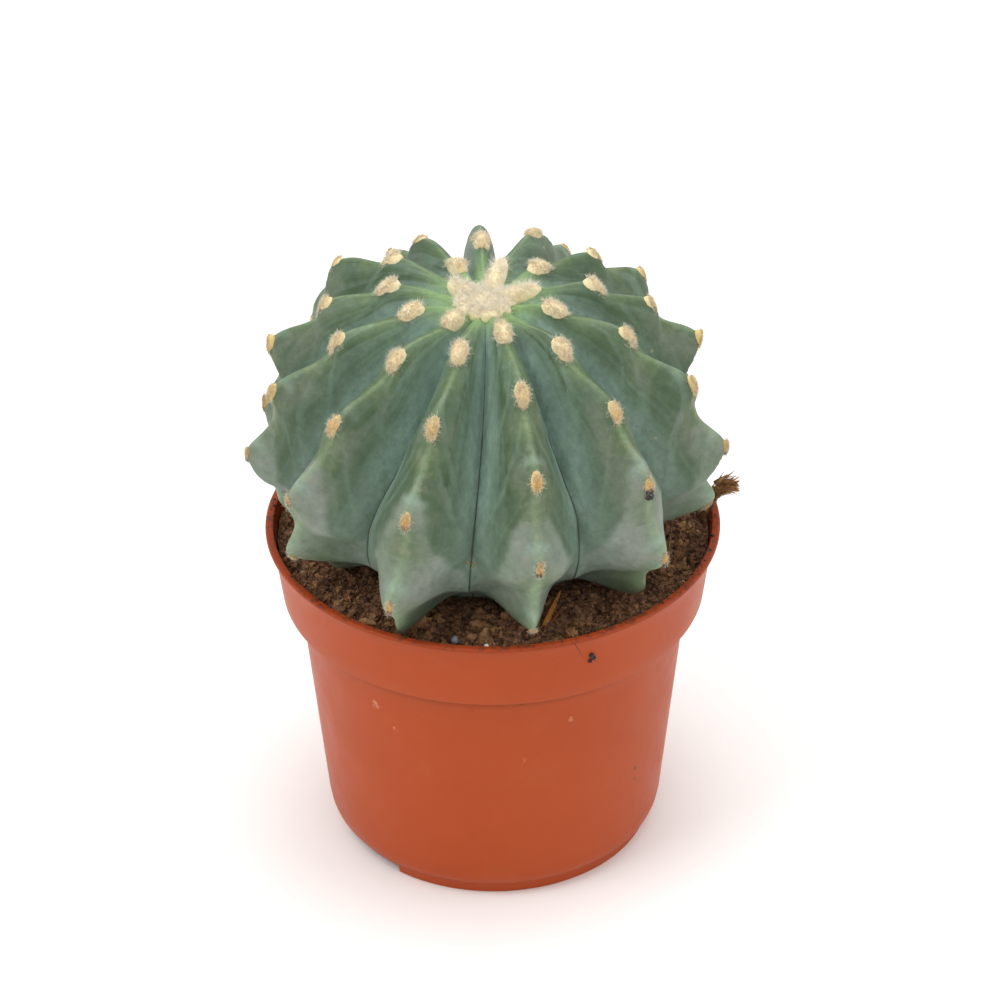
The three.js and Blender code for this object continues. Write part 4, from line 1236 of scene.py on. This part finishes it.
# %% Splinters and twigs
# Roots and far ends in mm, half thickness, and tone: dark twig 0, orange straw 0.5, pale straw 1.
SPLINTERS = [
    # Pale chaff in a furrow and splinters on the peat at the sides.
    ((-5.5, -48.2, 109), (-4.6, -49, 113), 0.32, 0.9), ((-5.7, -48, 110.5), (-7, -49.4, 112.6), 0.3, 0.8),
    ((-5.4, -48.4, 109.6), (-5.2, -49.8, 111.4), 0.28, 1),
    ((-38.5, -33.6, 89.4), (-35.3, -31.4, 90.3), 0.5, 0.5),
    ((-36.8, -34.4, 89.2), (-38, -31.6, 90.6), 0.35, 0.6), ((46, -12, 88.6), (46.8, -9.4, 94.4), 0.35, 0.95),
    ((44.3, -10.1, 88.6), (43.6, -9.2, 93.2), 0.3, 0.85), ((47.5, -15, 88.6), (50, -13, 91), 0.25, 0.7),
    # A forked twig and splinters on the peat at the front.
    ((-2.4, -43.4, 89), (0.7, -37.9, 95), 0.28, 0), ((-4, -40.6, 90), (1.2, -41.8, 91.8), 0.22, 0.1),
    ((10.5, -46.8, 88.6), (14.2, -45.2, 89.6), 0.4, 0.55), ((14.8, -43, 88.8), (18, -40.4, 91.2), 0.3, 0.45),
    ((6.4, -49.4, 88.4), (8.6, -45.6, 90.6), 0.25, 0.7), ((2.6, -47.6, 88.8), (5.8, -49.4, 90.2), 0.2, 0.8),
    # Two dark threads over the lip, and two more splinters.
    ((20.6, -56.4, 91.2), (24.2, -56.2, 85.4), 0.12, 0), ((23.6, -56.3, 86.6), (27.4, -54.2, 84.2), 0.1, 0),
    ((-22, -48.8, 88.2), (-19.4, -46.4, 90), 0.3, 0.5), ((33.6, -38, 88.3), (36.4, -37.2, 90.4), 0.3, 0.6),
]
splinter_roots, splinter_ends = [np.array([row[at] for row in SPLINTERS], dtype=float) for at in (0, 1)]
splinter_ways = splinter_ends - splinter_roots
splinters = comb(
    "splinters", splinter_roots, splinter_ways, np.linalg.norm(splinter_ways, axis=1),
    np.array([thickness for _, _, thickness, _ in SPLINTERS]), 0.25, random, 0.45,
    tone=np.array([tone for _, _, _, tone in SPLINTERS]),
)

# %% Grains and crumbs
# Place, size and tone, which here is dark peat 0, grey pebble 0.5 and white perlite 1.
LIP_CRUMBS, LIP_HEIGHT = 150, 92.05
GRAINS = [((-1.7, -53.8, 88.9), 1.7, 1), ((-9.8, -51.1, 88.8), 2.6, 0.5)]
# A chip of bark clings to the lower end of one areole.
chip_point, chip_along, chip_outward = crest_place(1, 72.6)
for _ in range(14):
    spot = chip_point + chip_along * random.uniform(-0.8, 1.6) + chip_outward * random.uniform(0.1, 1)
    spot += chip_along.cross(chip_outward) * random.uniform(-0.6, 1)
    GRAINS.append((tuple(spot), random.uniform(1, 1.9), 0.04))
# A crumb of wet peat sticks to the band, and many small ones to the lip.
GRAINS += [((24.9, -51.9, 84.6), 2, 0), ((25.3, -51.7, 83.6), 1.7, 0), ((24.5, -52.1, 82.8), 1.2, 0)]
for _ in range(LIP_CRUMBS):
    azimuth = random.uniform(0, 2 * math.pi)
    radius = random.uniform(57.2, 59)
    size = random.uniform(0.25, 0.7) if random.uniform() < 0.85 else random.uniform(0.7, 1.3)
    GRAINS.append(((radius * math.sin(azimuth), -radius * math.cos(azimuth), LIP_HEIGHT), size, 0))
deselect_all()
bpy.ops.mesh.primitive_ico_sphere_add(subdivisions=2, radius=0.5)
grain_shape, grain_faces = shape_of(bpy.context.object)
grain_sizes = np.array([size for _, size, _ in GRAINS])[:, None, None]
grain_forms = grain_shape[None] * (1 + random.normal(scale=0.12, size=(len(GRAINS), len(grain_shape), 1)))
grain_forms = grain_forms * random.uniform(0.6, 1, (len(GRAINS), 1, 3)) * grain_sizes
grain_places = np.array([point for point, _, _ in GRAINS])[:, None, :]
grain_tones = np.array([tone for _, _, tone in GRAINS])
grains = copies("grains", grain_forms + grain_places, grain_faces, tone=grain_tones)

# %% Materials of the bits: three colours by tone, with a speckle
for piece, name, first_colour, second_colour, third_colour in [
    (splinters, "splinters_of_straw_and_twig", "#2a1a10", "#b5652a", "#d9b873"),
    (grains, "crumb_pebble_and_perlite", "#2b1b11", "#767f88", "#efeee8"),
]:
    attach(piece, "root")
    material, tree, shader = new_material(name, Roughness=0.7)
    place = add(tree, "ShaderNodeTexCoord").outputs["Object"]
    tone = add(tree, "ShaderNodeAttribute", attribute_name="tone").outputs["Fac"]
    speckle = add(tree, "ShaderNodeTexNoise", {"Vector": place, "Scale": 1500, "Detail": 4}).outputs["Fac"]
    colour = lay_coats(tree, first_colour, [
        (second_colour, (tone, 0, 0.5, 0, 1, "LINEAR")), (third_colour, (tone, 0.5, 1, 0, 1, "LINEAR")),
    ])
    colour = vary_brightness(tree, colour, speckle, 0.35, 0.65, 0.7, 1.15)
    tree.links.new(colour, shader.inputs["Base Color"])
    wear(material, piece)
